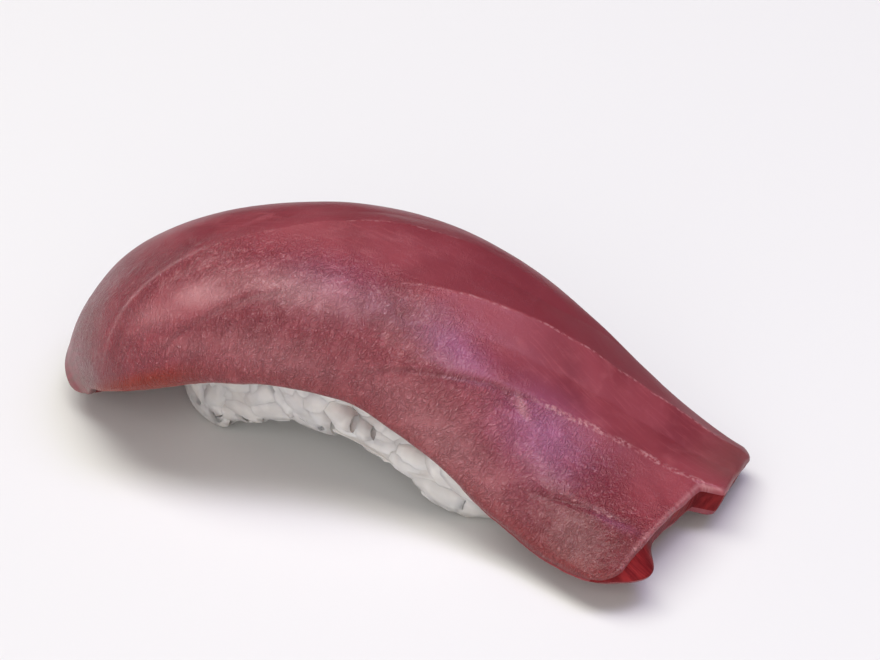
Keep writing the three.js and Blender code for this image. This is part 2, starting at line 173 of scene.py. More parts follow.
def tube_faces(rings: int, sides: int) -> tuple[Array, Array]:
    """The faces of rings closed round and capped by two tips, whose point numbers come last.

    Args:
        rings: how many rings; their points turn as a right-handed screw does along them.
        sides: how many points a ring has.

    Returns:
        Quads between the rings, and triangles at the first tip and then at the last, facing out.
    """
    at = np.arange(rings * sides).reshape(rings, sides)
    beside = np.roll(at, -1, axis=1)
    quads = np.stack([at[:-1], beside[:-1], beside[1:], at[1:]], axis=-1).reshape(-1, 4)
    first = np.stack([np.full(sides, at.size), beside[0], at[0]], axis=-1)
    last = np.stack([np.full(sides, at.size + 1), at[-1], beside[-1]], axis=-1)
    return quads, np.concatenate([first, last])


class Noise:
    """Seeded gradient noise in the plane, about -1 to 1, with a feature a unit."""

    SIDE = 256

    def __init__(self, seed: int) -> None:
        """Draws one slope for each corner of a repeating square lattice."""
        turn = np.random.default_rng(seed).uniform(0.0, 2.0 * np.pi, (self.SIDE, self.SIDE))
        self.slopes = np.stack([np.cos(turn), np.sin(turn)], axis=-1)

    def __call__(self, x: Array, y: Array) -> Array:
        """Blends the four corners' ramps by 6t^5 - 15t^4 + 10t^3 of the place in the cell.

        Args:
            x: the first coordinate, in features.
            y: the second.

        Returns:
            The noise at each place.
        """
        x, y = np.broadcast_arrays(np.asarray(x, float), np.asarray(y, float))
        i, j = np.floor(x).astype(int), np.floor(y).astype(int)
        u, v = x - i, y - j
        blend_u = u * u * u * (u * (u * 6.0 - 15.0) + 10.0)
        blend_v = v * v * v * (v * (v * 6.0 - 15.0) + 10.0)

        def ramp(di: int, dj: int) -> Array:
            """The ramp of one corner of the cell."""
            slope = self.slopes[(i + di) % self.SIDE, (j + dj) % self.SIDE]
            return slope[..., 0] * (u - di) + slope[..., 1] * (v - dj)

        near = ramp(0, 0) * (1 - blend_u) + ramp(1, 0) * blend_u
        far = ramp(0, 1) * (1 - blend_u) + ramp(1, 1) * blend_u
        return 1.5 * (near * (1 - blend_v) + far * blend_v)


class Cells:
    """Seeded cells in the plane, one a unit square, each with its middle at a random place."""

    SIDE = 256
    FAR = 9.0  # further than any neighbour's middle

    def __init__(self, seed: int) -> None:
        """Draws each cell's middle."""
        self.middles = np.random.default_rng(seed).uniform(0.0, 1.0, (self.SIDE, self.SIDE, 2))

    def __call__(self, x: Array, y: Array) -> tuple[Array, Array]:
        """Distances to the nearest and the second nearest middle.

        Args:
            x: the first coordinate, in cells.
            y: the second.

        Returns:
            The nearest and the second nearest distance, in cells.
        """
        i, j = np.floor(x).astype(int), np.floor(y).astype(int)
        near = np.full(np.shape(x), self.FAR)
        second = near.copy()
        for di in (-1, 0, 1):
            for dj in (-1, 0, 1):
                middle = self.middles[(i + di) % self.SIDE, (j + dj) % self.SIDE]
                away = np.hypot(i + di + middle[..., 0] - x, j + dj + middle[..., 1] - y)
                second = np.minimum(second, np.maximum(near, away))
                near = np.minimum(near, away)
        return near, second


def make_mesh(name: str, points: Array, faces: list[Array]) -> Thing:
    """A smooth-shaded object at the origin, from points in mm and arrays of triangles or quads.

    Args:
        name: the object's name.
        points: an array of n points, in the layout's millimetres.
        faces: arrays of point numbers, with 3 or 4 columns.

    Returns:
        The new object, linked to the scene, with its place in its mesh.
    """
    mesh = bpy.data.meshes.new(name)
    corners = np.concatenate([f.ravel() for f in faces]).astype(np.int32)
    sizes = np.concatenate([np.full(len(f), f.shape[1]) for f in faces]).astype(np.int32)
    mesh.vertices.add(len(points))
    mesh.vertices.foreach_set("co", ((points + CENTRING) * MM).astype(np.float32).ravel())
    mesh.loops.add(len(corners))
    mesh.loops.foreach_set("vertex_index", corners)
    mesh.polygons.add(len(sizes))
    starts = np.concatenate([[0], np.cumsum(sizes)[:-1]]).astype(np.int32)
    mesh.polygons.foreach_set("loop_start", starts)
    mesh.update(calc_edges=True)
    mesh.validate()
    mesh.shade_smooth()
    thing = bpy.data.objects.new(name, mesh)
    bpy.context.scene.collection.objects.link(thing)
    return thing


def set_attribute(thing: Thing, name: str, values: Array) -> None:
    """Stores one number or one vector a point, for the material to read.

    Args:
        thing: the object that the points are on.
        name: the attribute's name.
        values: n numbers, or n by 3.
    """
    kind, key = ("FLOAT", "value") if values.ndim == 1 else ("FLOAT_VECTOR", "vector")
    attribute = thing.data.attributes.new(name, kind, "POINT")
    attribute.data.foreach_set(key, values.astype(np.float32).ravel())


# ---- Finishes -------------------------------------------------------------------------------


class Nodes:
    """The node tree of a material or the world, with short ways to add and join nodes."""

    def __init__(self, owner: bpy.types.Material | bpy.types.World, shader: str) -> None:
        """Starts from the owner's plain tree, which holds one shader.

        Args:
            owner: the material or the world.
            shader: the name of its shader's node.
        """
        owner.use_nodes = True
        self.owner = owner
        self.tree = owner.node_tree
        self.shader = self.tree.nodes[shader]

    @classmethod
    def of_material(cls, name: str) -> Nodes:
        """A new material's tree."""
        return cls(bpy.data.materials.new(name), "Principled BSDF")

    def add(self, kind: str, inputs: Inputs | None = None, **settings: object) -> bpy.types.Node:
        """Adds a node, sets its options, and sets or links its inputs.

        Args:
            kind: the node's type name, without the ShaderNode that all begin with.
            inputs: what goes into the node.
            **settings: the node's options.

        Returns:
            The new node.
        """
        node = self.tree.nodes.new("ShaderNode" + kind)
        for key, value in settings.items():
            setattr(node, key, value)
        for key, value in (inputs or {}).items():
            self.feed(node.inputs[key], value)
        return node

    def feed(self, socket: Socket, value: object) -> None:
        """Links a socket to an output, or sets its value.

        Args:
            socket: the input.
            value: the output or the value for it.
        """
        if isinstance(value, bpy.types.NodeSocket):
            self.tree.links.new(value, socket)
        else:
            socket.default_value = value

    def attribute(self, name: str, vector: bool = False) -> Socket:
        """An attribute of the mesh, as a number or a vector."""
        node = self.add("Attribute", attribute_name=name)
        return node.outputs["Vector" if vector else "Fac"]

    def math(self, operation: str, *values: object) -> Socket:
        """One sum on numbers or sockets."""
        return self.add("Math", dict(enumerate(values)), operation=operation).outputs[0]

    def times(self, *values: object) -> Socket:
        """The product of numbers and sockets."""
        return reduce(lambda done, value: self.math("MULTIPLY", done, value), values)

    def plus(self, *values: object) -> Socket:
        """The sum of numbers and sockets."""
        return reduce(lambda done, value: self.math("ADD", done, value), values)

    def mapped(self, place: Socket, scale: Numbers, turn: float = 0.0) -> Socket:
        """A place turned about Z, in radians, and stretched."""
        return self.add("Mapping", {"Vector": place, "Rotation": (0.0, 0.0, turn), "Scale": scale}).outputs[0]

    def mix(self, share: object, low: object, high: object) -> Socket:
        """A colour between two, by a share of the second."""
        colours = [(*c, 1.0) if isinstance(c, tuple) else c for c in (low, high)]
        return self.add("Mix", {0: share, 6: colours[0], 7: colours[1]}, data_type="RGBA").outputs[2]

    def noise(self, place: Socket, scale: float, detail: float = 2.0, warp: float = 0.0) -> Socket:
        """Cloudy noise from 0 to 1, scale features a unit."""
        inputs = {"Vector": place, "Scale": scale, "Detail": detail, "Distortion": warp}
        return self.add("TexNoise", inputs).outputs["Fac"]

    def between(self, value: Socket, low: float, high: float, top: float = 1.0) -> Socket:
        """Stretches low..high to 0..top, smoothly, and holds the ends."""
        inputs = {"Value": value, "From Min": low, "From Max": high, "To Min": 0.0, "To Max": top}
        return self.add("MapRange", inputs, interpolation_type="SMOOTHSTEP").outputs[0]

    def bump(self, height: Socket, depth: float, strength: float = 1.0) -> Socket:
        """A normal that is tilted by a height, in metres."""
        return self.add("Bump", {"Height": height, "Distance": depth, "Strength": strength}).outputs[0]

    def finish(self, **sockets: object) -> bpy.types.Material | bpy.types.World:
        """Sets or links the shader's sockets, named with _ for each space, and gives the owner.

        Args:
            **sockets: what goes into each of the inputs.

        Returns:
            The owner.
        """
        for key, value in sockets.items():
            is_colour = key.endswith("Color") and isinstance(value, tuple)
            self.feed(self.shader.inputs[key.replace("_", " ")], (*value, 1.0) if is_colour else value)
        return self.owner


@dataclass(frozen=True)
class FleshFinish:
    """Moist raw tuna: strong pink-red, cloudy under the face, paler along its muscle layers, with painted
    shade, painted highlights and a painted purple reflection in its colour.

    A scale is in features a millimetre. A range is the noise that gives nothing, the noise that gives
    the most, and that most where it isn't 1.
    """

    # Darker red: the flesh's own darker tone in its clouds, and also painted shade in the wrinkles' grooves
    # and on the face's shaded parts.
    deep_tone_and_shade: Colour = (0.185, 0.020, 0.031)
    plain: Colour = (0.280, 0.044, 0.060)
    light: Colour = (0.385, 0.090, 0.106)
    # Pale pink: the layers' own pale film and the cut lip's pale edge, and also painted highlights on the lit
    # patches and the wrinkles' crests.
    pale_film_and_highlight: Colour = (0.58, 0.29, 0.30)
    # Painted shade in the creases.
    crease: Colour = (0.15, 0.012, 0.022)
    # Brownish red: the steep end's brown streaks, darkened there as painted shade, and painted shade on the
    # low end's two corners.
    brown_streaks_and_shade: Colour = (0.145, 0.048, 0.042)
    glow: Colour = (0.26, 0.014, 0.002)
    # Painted purple reflection of the bluish lamp, laid into the face's colour.
    painted_purple_reflection: Colour = (0.35, 0.100, 0.205)

    cloud_scale: float = 0.10
    cloud_range: Numbers = (0.30, 0.70)
    patch_scale: float = 0.45
    patch_range: Numbers = (0.48, 0.78, 0.35)
    uneven_range: Numbers = (0.30, 0.62)  # of the patches, where the wrinkles stand out
    fibre_stretch: Numbers = (0.3, 2.6, 1.0)
    fibre_turn: float = -0.42
    fibre_range: Numbers = (0.50, 0.75, 0.30)
    pore_scale: float = 3.6
    pore_range: Numbers = (0.42, 0.62)
    pore_height: float = 0.45

    coarse_worms: Numbers = (1.7, 0.55)  # scale, turn in radians
    fine_worms: Numbers = (3.3, 0.9)
    coarse_share: float = 0.6
    worm_swirl: float = 0.55  # the scale of what bends them, as a share of their own
    worm_push: float = 1.3
    worm_stretch: Numbers = (1.35, 0.7, 1.0)
    worm_width: float = 0.16
    # The grooves get painted shade and the crests painted highlight, by these ranges and strengths.
    groove_range: Numbers = (0.62, 0.22)
    groove_shade: float = 0.5
    crest_range: Numbers = (0.62, 0.95)
    crest_highlight: float = 0.3
    relief_depth: float = 0.0002
    even_share: float = 0.3  # the part of the relief that the patches don't thin out

    seam_range: Numbers = (1.0, 0.25)  # in half widths off the line
    speck_scale: float = 2.2
    speck_range: Numbers = (0.40, 0.62)
    gap_scale: float = 0.32
    gap_range: Numbers = (0.40, 0.56, 0.75)

    roughness: float = 0.26
    patch_roughness: float = 0.16
    matte: float = 0.16  # more roughness where the flesh isn't wrinkled

    def seams(self, n: Nodes, flat: Socket) -> Socket:
        """Where a layer's pale edge shows, as its own pale film and partly as painted highlight: near its
        line, broken into specks and longer gaps.

        Args:
            n: the material's nodes.
            flat: the flat place, in mm.

        Returns:
            How much of the pale edge shows.
        """
        seam = n.add("SeparateXYZ", {0: n.attribute("seam", vector=True)})
        near = n.between(n.math("ABSOLUTE", seam.outputs[0]), *self.seam_range)
        specks = n.between(n.noise(flat, self.speck_scale), *self.speck_range)
        gaps = n.between(n.noise(flat, self.gap_scale, 1.0), *self.gap_range)
        return n.times(near, n.times(specks, n.plus(gaps, 1.0 - self.gap_range[2])), seam.outputs[1])

    def worms(self, n: Nodes, flat: Socket, scale: float, turn: float) -> Socket:
        """Short crooked wrinkles: noise folded where it crosses its mean.

        Args:
            n: the material's nodes.
            flat: the flat place, in mm.
            scale: how many wrinkles a millimetre.
            turn: their way across the slice, in radians.

        Returns:
            0 in the grooves and 1 on the crests.
        """
        swirl = n.add("TexNoise", {"Vector": flat, "Scale": self.worm_swirl * scale, "Detail": 1.0})
        reach = (self.worm_push / scale, self.worm_push / scale, 0.0)
        push = n.add("VectorMath", {0: swirl.outputs["Color"], 1: reach}, operation="MULTIPLY")
        warped = n.add("VectorMath", {0: flat, 1: push.outputs[0]}, operation="ADD")
        oval = n.mapped(warped.outputs[0], self.worm_stretch, turn)
        folded = n.math("ABSOLUTE", n.math("SUBTRACT", n.noise(oval, scale, 1.0, 0.4), 0.5))
        return n.between(folded, 0.0, self.worm_width)

    def colour(self, n: Nodes, flat: Socket, wrinkles: Socket, pores: Socket, patches: Socket) -> Socket:
        """The flesh's colour: clouds, patches and fibres, wrinkles with painted shade in their grooves and
        painted highlight on their crests, then the mesh's masks in turn, mostly painted light and shade.

        Args:
            n: the material's nodes.
            flat: the flat place, in mm.
            wrinkles: 0 in the grooves and 1 on the crests.
            pores: fine noise.
            patches: wider noise.

        Returns:
            The colour.
        """
        clouds = n.noise(flat, self.cloud_scale, 2.0, 0.6)
        fibres = n.noise(n.mapped(flat, self.fibre_stretch, self.fibre_turn), 1.0, 3.0, 0.5)
        rough = n.attribute("rough")
        colour = n.mix(n.between(clouds, *self.cloud_range), self.deep_tone_and_shade, self.plain)
        colour = n.mix(n.between(patches, *self.patch_range), colour, self.light)
        colour = n.mix(n.between(fibres, *self.fibre_range), colour, self.light)
        # Painted shade in the grooves, painted highlight on the crests.
        groove_shade_share = n.times(n.between(wrinkles, *self.groove_range), n.times(rough, self.groove_shade))
        crest_highlight_share = n.times(n.between(wrinkles, *self.crest_range), n.between(pores, *self.pore_range))
        colour = n.mix(groove_shade_share, colour, self.deep_tone_and_shade)
        colour = n.mix(n.times(crest_highlight_share, n.times(rough, self.crest_highlight)), colour, self.pale_film_and_highlight)
        # The masks in turn: painted purple reflection; brown streaks with painted shade; darker tone with
        # painted shade; painted light through the thin edge; painted shade in the creases; pale film with
        # painted highlights.
        for mask in ("painted_purple_reflection", "brown_streaks_and_shade", "deep_tone_and_shade", "glow", "crease", "pale_film_and_highlight"):
            colour = n.mix(n.attribute(mask), colour, getattr(self, mask))
        # The layers' pale edges: their own pale film, partly painted highlight.
        return n.mix(self.seams(n, flat), colour, self.pale_film_and_highlight)

    def material(self) -> bpy.types.Material:
        """Reads the flat place (mm) and the masks that the slice's mesh carries.

        Returns:
            The material.
        """
        n = Nodes.of_material("tuna_flesh")
        flat = n.attribute("flat", vector=True)
        rough = n.attribute("rough")
        patches = n.noise(flat, self.patch_scale, 3.0, 0.4)
        pores = n.noise(flat, self.pore_scale, 2.0, 0.6)
        coarse = self.worms(n, flat, *self.coarse_worms)
        fine = self.worms(n, flat, *self.fine_worms)
        wrinkles = n.plus(n.times(coarse, self.coarse_share), n.times(fine, 1.0 - self.coarse_share))
        relief = n.plus(wrinkles, n.times(pores, self.pore_height))
        uneven = n.times(rough, n.between(patches, *self.uneven_range), 1.0 - self.even_share)
        height = n.times(relief, n.plus(uneven, n.times(rough, self.even_share)))
        matte = n.times(n.math("SUBTRACT", 1.0, rough), self.matte)
        return n.finish(
            Base_Color=self.colour(n, flat, wrinkles, pores, patches),
            Roughness=n.plus(n.times(patches, self.patch_roughness), n.plus(matte, self.roughness)),
            Normal=n.bump(height, self.relief_depth),
            IOR=1.48,
            Subsurface_Weight=0.22,
            Subsurface_Radius=(1.0, 0.30, 0.24),
            Subsurface_Scale=0.0016,
            Coat_Weight=0.18,
            Coat_Roughness=0.18,
            Coat_IOR=1.5,
        )


@dataclass(frozen=True)
class CutFinish:
    """The slice's two cut ends: wet red, darker partly as painted shade of ends that face away from the
    light, dragged by the knife from face to underside.
    """

    # Darker than the flesh partly as painted shade: the cut ends face away from the light.
    dark_tone_and_shade: Colour = (0.13, 0.006, 0.009)
    bright: Colour = (0.26, 0.020, 0.022)
    drag_stretch: Numbers = (0.5, 2.4, 0.25)
    bright_range: Numbers = (0.35, 0.7)
    drag_depth: float = 0.00012

    def material(self) -> bpy.types.Material:
        """Reads the flat place (mm): the drag runs through the thickness.

        Returns:
            The material.
        """
        n = Nodes.of_material("tuna_cut")
        flat = n.attribute("flat", vector=True)
        drag = n.noise(n.mapped(flat, self.drag_stretch), 1.0, 3.0, 0.5)
        return n.finish(
            Base_Color=n.mix(n.between(drag, *self.bright_range), self.dark_tone_and_shade, self.bright),
            Roughness=0.5,
            Normal=n.bump(drag, self.drag_depth),
            IOR=1.4,
            Specular_IOR_Level=0.15,
            Subsurface_Weight=0.15,
            Subsurface_Radius=(1.0, 0.25, 0.2),
            Subsurface_Scale=0.0012,
        )


@dataclass(frozen=True)
class RiceFinish:
    """Cooked rice: translucent white with cloudier hearts and a sticky gloss."""

    name: str
    clear: Colour = (0.63, 0.61, 0.595)
    cloudy: Colour = (0.78, 0.755, 0.73)
    gloss: float = 0.32
    cloud_scale: float = 420.0  # features a metre
    cloud_range: Numbers = (0.4, 0.68)
    dimple_scale: float = 900.0
    dimple_depth: float = 0.00012
    shade_share: float = 0.6  # how much clearer the clearest grain is
    gloss_spread: float = 0.2

    def material(self) -> bpy.types.Material:
        """Object coordinates carry the clouds; each grain's own shade comes as an attribute.

        Returns:
            The material.
        """
        n = Nodes.of_material(self.name)
        place = n.add("TexCoord").outputs["Object"]
        clouds = n.noise(place, self.cloud_scale, 2.0, 0.4)
        dimples = n.noise(place, self.dimple_scale, 2.0, 0.3)
        colour = n.mix(n.between(clouds, *self.cloud_range), self.clear, self.cloudy)
        return n.finish(
            Base_Color=n.mix(n.times(n.attribute("shade"), self.shade_share), colour, self.clear),
            Roughness=n.plus(n.times(clouds, self.gloss_spread), self.gloss - self.gloss_spread / 2),
            Normal=n.bump(dimples, self.dimple_depth, 0.5),
            IOR=1.42,
            Subsurface_Weight=0.3,
            Subsurface_Radius=(1.0, 0.85, 0.7),
            Subsurface_Scale=0.0005,
        )


@dataclass(frozen=True)
class TableFinish:
    """The plain pale floor: matt, very slightly uneven, and falling off to grey far from the piece."""

    colour: Colour = (0.80, 0.80, 0.795)
    far_colour: Colour = (0.22, 0.22, 0.225)
    unevenness: float = 0.03
    cloud_scale: float = 1.5  # features a metre
    pale_to: float = 0.45  # metres from the piece
    grey_from: float = 1.3

    def material(self) -> bpy.types.Material:
        """Two close greys, blended by wide clouds, and the far grey by the distance.

        Returns:
            The material.
        """
        n = Nodes.of_material("pale_floor")
        place = n.add("TexCoord").outputs["Object"]
        other = tuple((1.0 - self.unevenness) * part for part in self.colour)
        away = n.add("VectorMath", {0: place}, operation="LENGTH").outputs["Value"]
        colour = n.mix(n.noise(place, self.cloud_scale), self.colour, other)
        colour = n.mix(n.between(away, self.pale_to, self.grey_from), colour, self.far_colour)
        return n.finish(Base_Color=colour, Roughness=0.75)


# ---- The bend that the slice and its bed share ----------------------------------------------


@dataclass(frozen=True)
class Drape:
    """How the flat slice is bent over the rice. Each tuple holds one value a station along it."""

    length: float = 83.0
    spine_start: Numbers = (-40.7, 6.3)
    pitch: Numbers = (68, 31, 3, -22, -34, -9)
    lean: Numbers = (14, 8, 6.5, 8, 6, -5.5)
    front_width: Numbers = (14.3, 19.1, 18.7, 15.9, 14.7, 14.9)
    back_width: Numbers = (13, 14, 14, 14.1, 14.6, 15.2)
    front_wrap: Numbers = (71, 67, 58, 63, 54, 23)
    back_wrap: Numbers = (63, 68, 46, 40, 30, 15)
    side_shift: Numbers = (-5, -5.4, -2.3, 0.4, 0.9, 0.8)
    thickness: Numbers = (4, 4.8, 5.2, 5.2, 4.6, 3.4)
    wrap_power: float = 1.4
    edge_thinning: float = 0.12
    low_end_thinning: Numbers = (0.55, 0.3, 0.55)  # front, back, share at which it begins
    spine_steps: int = 400
    arc_steps: int = 40

    def share(self, along: Array) -> Array:
        """The share of the length, held at 0 and 1 past the ends."""
        return np.clip(along / self.length, 0.0, 1.0)

    def width(self, across: Array, share: Array) -> Array:
        """The slice's width on a place's own side of the spine, in mm."""
        front, back = along_stations(self.front_width, share), along_stations(self.back_width, share)
        return np.where(across < 0, front, back)

    def spine(self, along: Array) -> tuple[Array, Array, Array, Array]:
        """The spine's side view: running sums of the pitch's cosine and sine.

        Args:
            along: distance along the slice, in mm; past the ends the spine runs straight on.

        Returns:
            x, z, the pitch in radians, and the share of the length, in the shape of along.
        """
        step = self.length / self.spine_steps
        middles = (np.arange(self.spine_steps) + 0.5) / self.spine_steps
        pitches = np.radians(along_stations(self.pitch, middles))
        knots = np.arange(self.spine_steps + 1) / self.spine_steps
        xs = self.spine_start[0] + np.concatenate([[0.0], np.cumsum(np.cos(pitches))]) * step
        zs = self.spine_start[1] + np.concatenate([[0.0], np.cumsum(np.sin(pitches))]) * step
        share = self.share(along)
        pitch = np.radians(along_stations(self.pitch, share))
        beyond = along - share * self.length
        x = np.interp(share, knots, xs) + np.cos(pitch) * beyond
        z = np.interp(share, knots, zs) + np.sin(pitch) * beyond
        return x, z, pitch, share

    def wrapped(self, distance: Array, width: Array, wrap: Array) -> tuple[Array, Array, Array]:
        """Where a strip that turns down towards its edge gets to, as running sums over its turn.

        Its turn grows as wrap * (distance / width) ^ wrap_power, and it runs straight past its width.

        Args:
            distance: how far out along the strip, in mm.
            width: the strip's width, in mm.
            wrap: its turn at that width, in radians.

        Returns:
            How far out and how far down it gets, and its turn there.
        """
        inside = np.minimum(distance, width)
        step = inside / self.arc_steps
        out, down = np.zeros_like(inside), np.zeros_like(inside)
        for k in range(self.arc_steps):
            turn = wrap * ((k + 0.5) * step / width) ** self.wrap_power
            out += np.cos(turn) * step
            down += np.sin(turn) * step
        turn = wrap * (inside / width) ** self.wrap_power
        beyond = distance - inside
        return out + np.cos(turn) * beyond, down + np.sin(turn) * beyond, turn

    def place(self, along: Array, across: Array, lift: Array | float) -> Array:
        """Bends flat places over the rice: the spine, and the wrap's way out and down turned by the lean.

        Args:
            along: distance along the slice, in mm.
            across: distance from the spine, in mm, negative to the front.
            lift: height off the upper face, in mm.

        Returns:
            Points in mm, with one more axis than along.
        """
        along, across, lift = np.broadcast_arrays(along, across, lift)
        x, z, pitch, share = self.spine(along)
        lean = np.radians(along_stations(self.lean, share))
        side = np.where(across < 0, -1.0, 1.0)
        front_wrap, back_wrap = (along_stations(wrap, share) for wrap in (self.front_wrap, self.back_wrap))
        wrap = np.radians(np.where(across < 0, front_wrap, back_wrap))
        out, down, turn = self.wrapped(np.abs(across), self.width(across, share), wrap)
        sideways = side * (out + np.sin(turn) * lift)
        upward = np.cos(turn) * lift - down
        risen = upward * np.cos(lean) + sideways * np.sin(lean)
        shifted = sideways * np.cos(lean) - upward * np.sin(lean)
        y = along_stations(self.side_shift, share) + shifted
        return np.stack([x - np.sin(pitch) * risen, y, z + np.cos(pitch) * risen], axis=-1)

    def depth(self, along: Array, across: Array) -> Array:
        """The slice's thickness at a flat place, in mm.

        It thins towards the edges by a fourth power of the share of the width, and towards the low
        end's corners by that share's square as well.

        Args:
            along: distance along the slice, in mm.
            across: distance from the spine, in mm.

        Returns:
            The thickness at each place.
        """
        share = self.share(along)
        out = np.minimum(np.abs(across) / self.width(across, share), 1.0)
        front, back, start = self.low_end_thinning
        low_end = np.where(across < 0, front, back) * smoothstep(share, start, 1.0)
        return along_stations(self.thickness, share) * (1.0 - self.edge_thinning * out**4 - low_end * out**2)


# ---- The slice ------------------------------------------------------------------------------


class Line(Enum):
    """The muscle layers' lines that show on the face: three points (along, across) each, in mm."""

    FIRST = ((19.0, -9.5), (35.0, 3.2), (55.0, 10.8))
    SECOND = ((49.0, -0.1), (61.0, 6.0), (79.0, 12.3))
    THIRD = ((51.0, -10.9), (65.0, -2.4), (83.0, 3.3))
    SECOND_FOOT = ((26.0, -15.5), (31.5, -11.0), (37.0, -7.8))
    FOURTH = ((71.0, -10.0), (76.0, -8.1), (81.0, -6.8))
    STREAK = ((16.5, -13.0), (20.5, -7.8), (25.5, -3.2))

    def offset(self, along: Array, across: Array) -> Array:
        """How far behind the line a place lies, in mm, measured across the slice."""
        return across - through_three(self.value, along)

    def run(self, along: Array, fade: float) -> Array:
        """1 along the line's own stretch, fading to 0 past its ends over the length fade."""
        start, end = self.value[0][0], self.value[2][0]
        return stretch(along, start, end, (fade,) * 4)

    def band(
        self, along: Array, across: Array, fade: float, reach: float, aside: Array | float = 0.0
    ) -> Array:
        """A soft band on the line's stretch: a bell over the distance from it.

        Args:
            along: distance along the slice, in mm.
            across: distance from the spine, in mm.
            fade: over what length it fades past the line's ends.
            reach: the bell's half width.
            aside: how far in front of the line the band lies.

        Returns:
            The band's strength, 0 to 1.
        """
        offset = (self.offset(along, across) + aside) / reach
        return self.run(along, fade) * np.exp(-offset * offset)


@dataclass(frozen=True)
class Patch:
    """A soft oval place on the face, in mm: strongest at its middle, and a bell each way."""

    along: float
    across: float
    reach_along: float
    reach_across: float
    most: float
    slant: float = 0.0  # how far across it runs for each mm along

    def share(self, s: Array, w: Array) -> Array:
        """How strong it is at each flat place: most * exp(-(off / reach)^2 - (aside / reach)^2).

        Args:
            s: distance along the slice, in mm.
            w: distance from the spine, in mm.

        Returns:
            The strength at each place.
        """
        off = s - self.along
        aside = w - self.across - self.slant * off
        return self.most * np.exp(-((off / self.reach_along) ** 2) - (aside / self.reach_across) ** 2)


@dataclass(frozen=True)
class Slope:
    """A soft-edged part of the face: nothing at each pair's first place, in mm, full at its second."""

    most: float
    along: Numbers
    across: Numbers

    def share(self, s: Array, w: Array) -> Array:
        """How strong it is at each flat place."""
        return self.most * smoothstep(s, *self.along) * smoothstep(w, *self.across)


def strongest(parts: tuple[Patch | Slope, ...], s: Array, w: Array) -> Array:
    """The strongest of some patches and slopes at each flat place."""
    return np.max([part.share(s, w) for part in parts], axis=0)


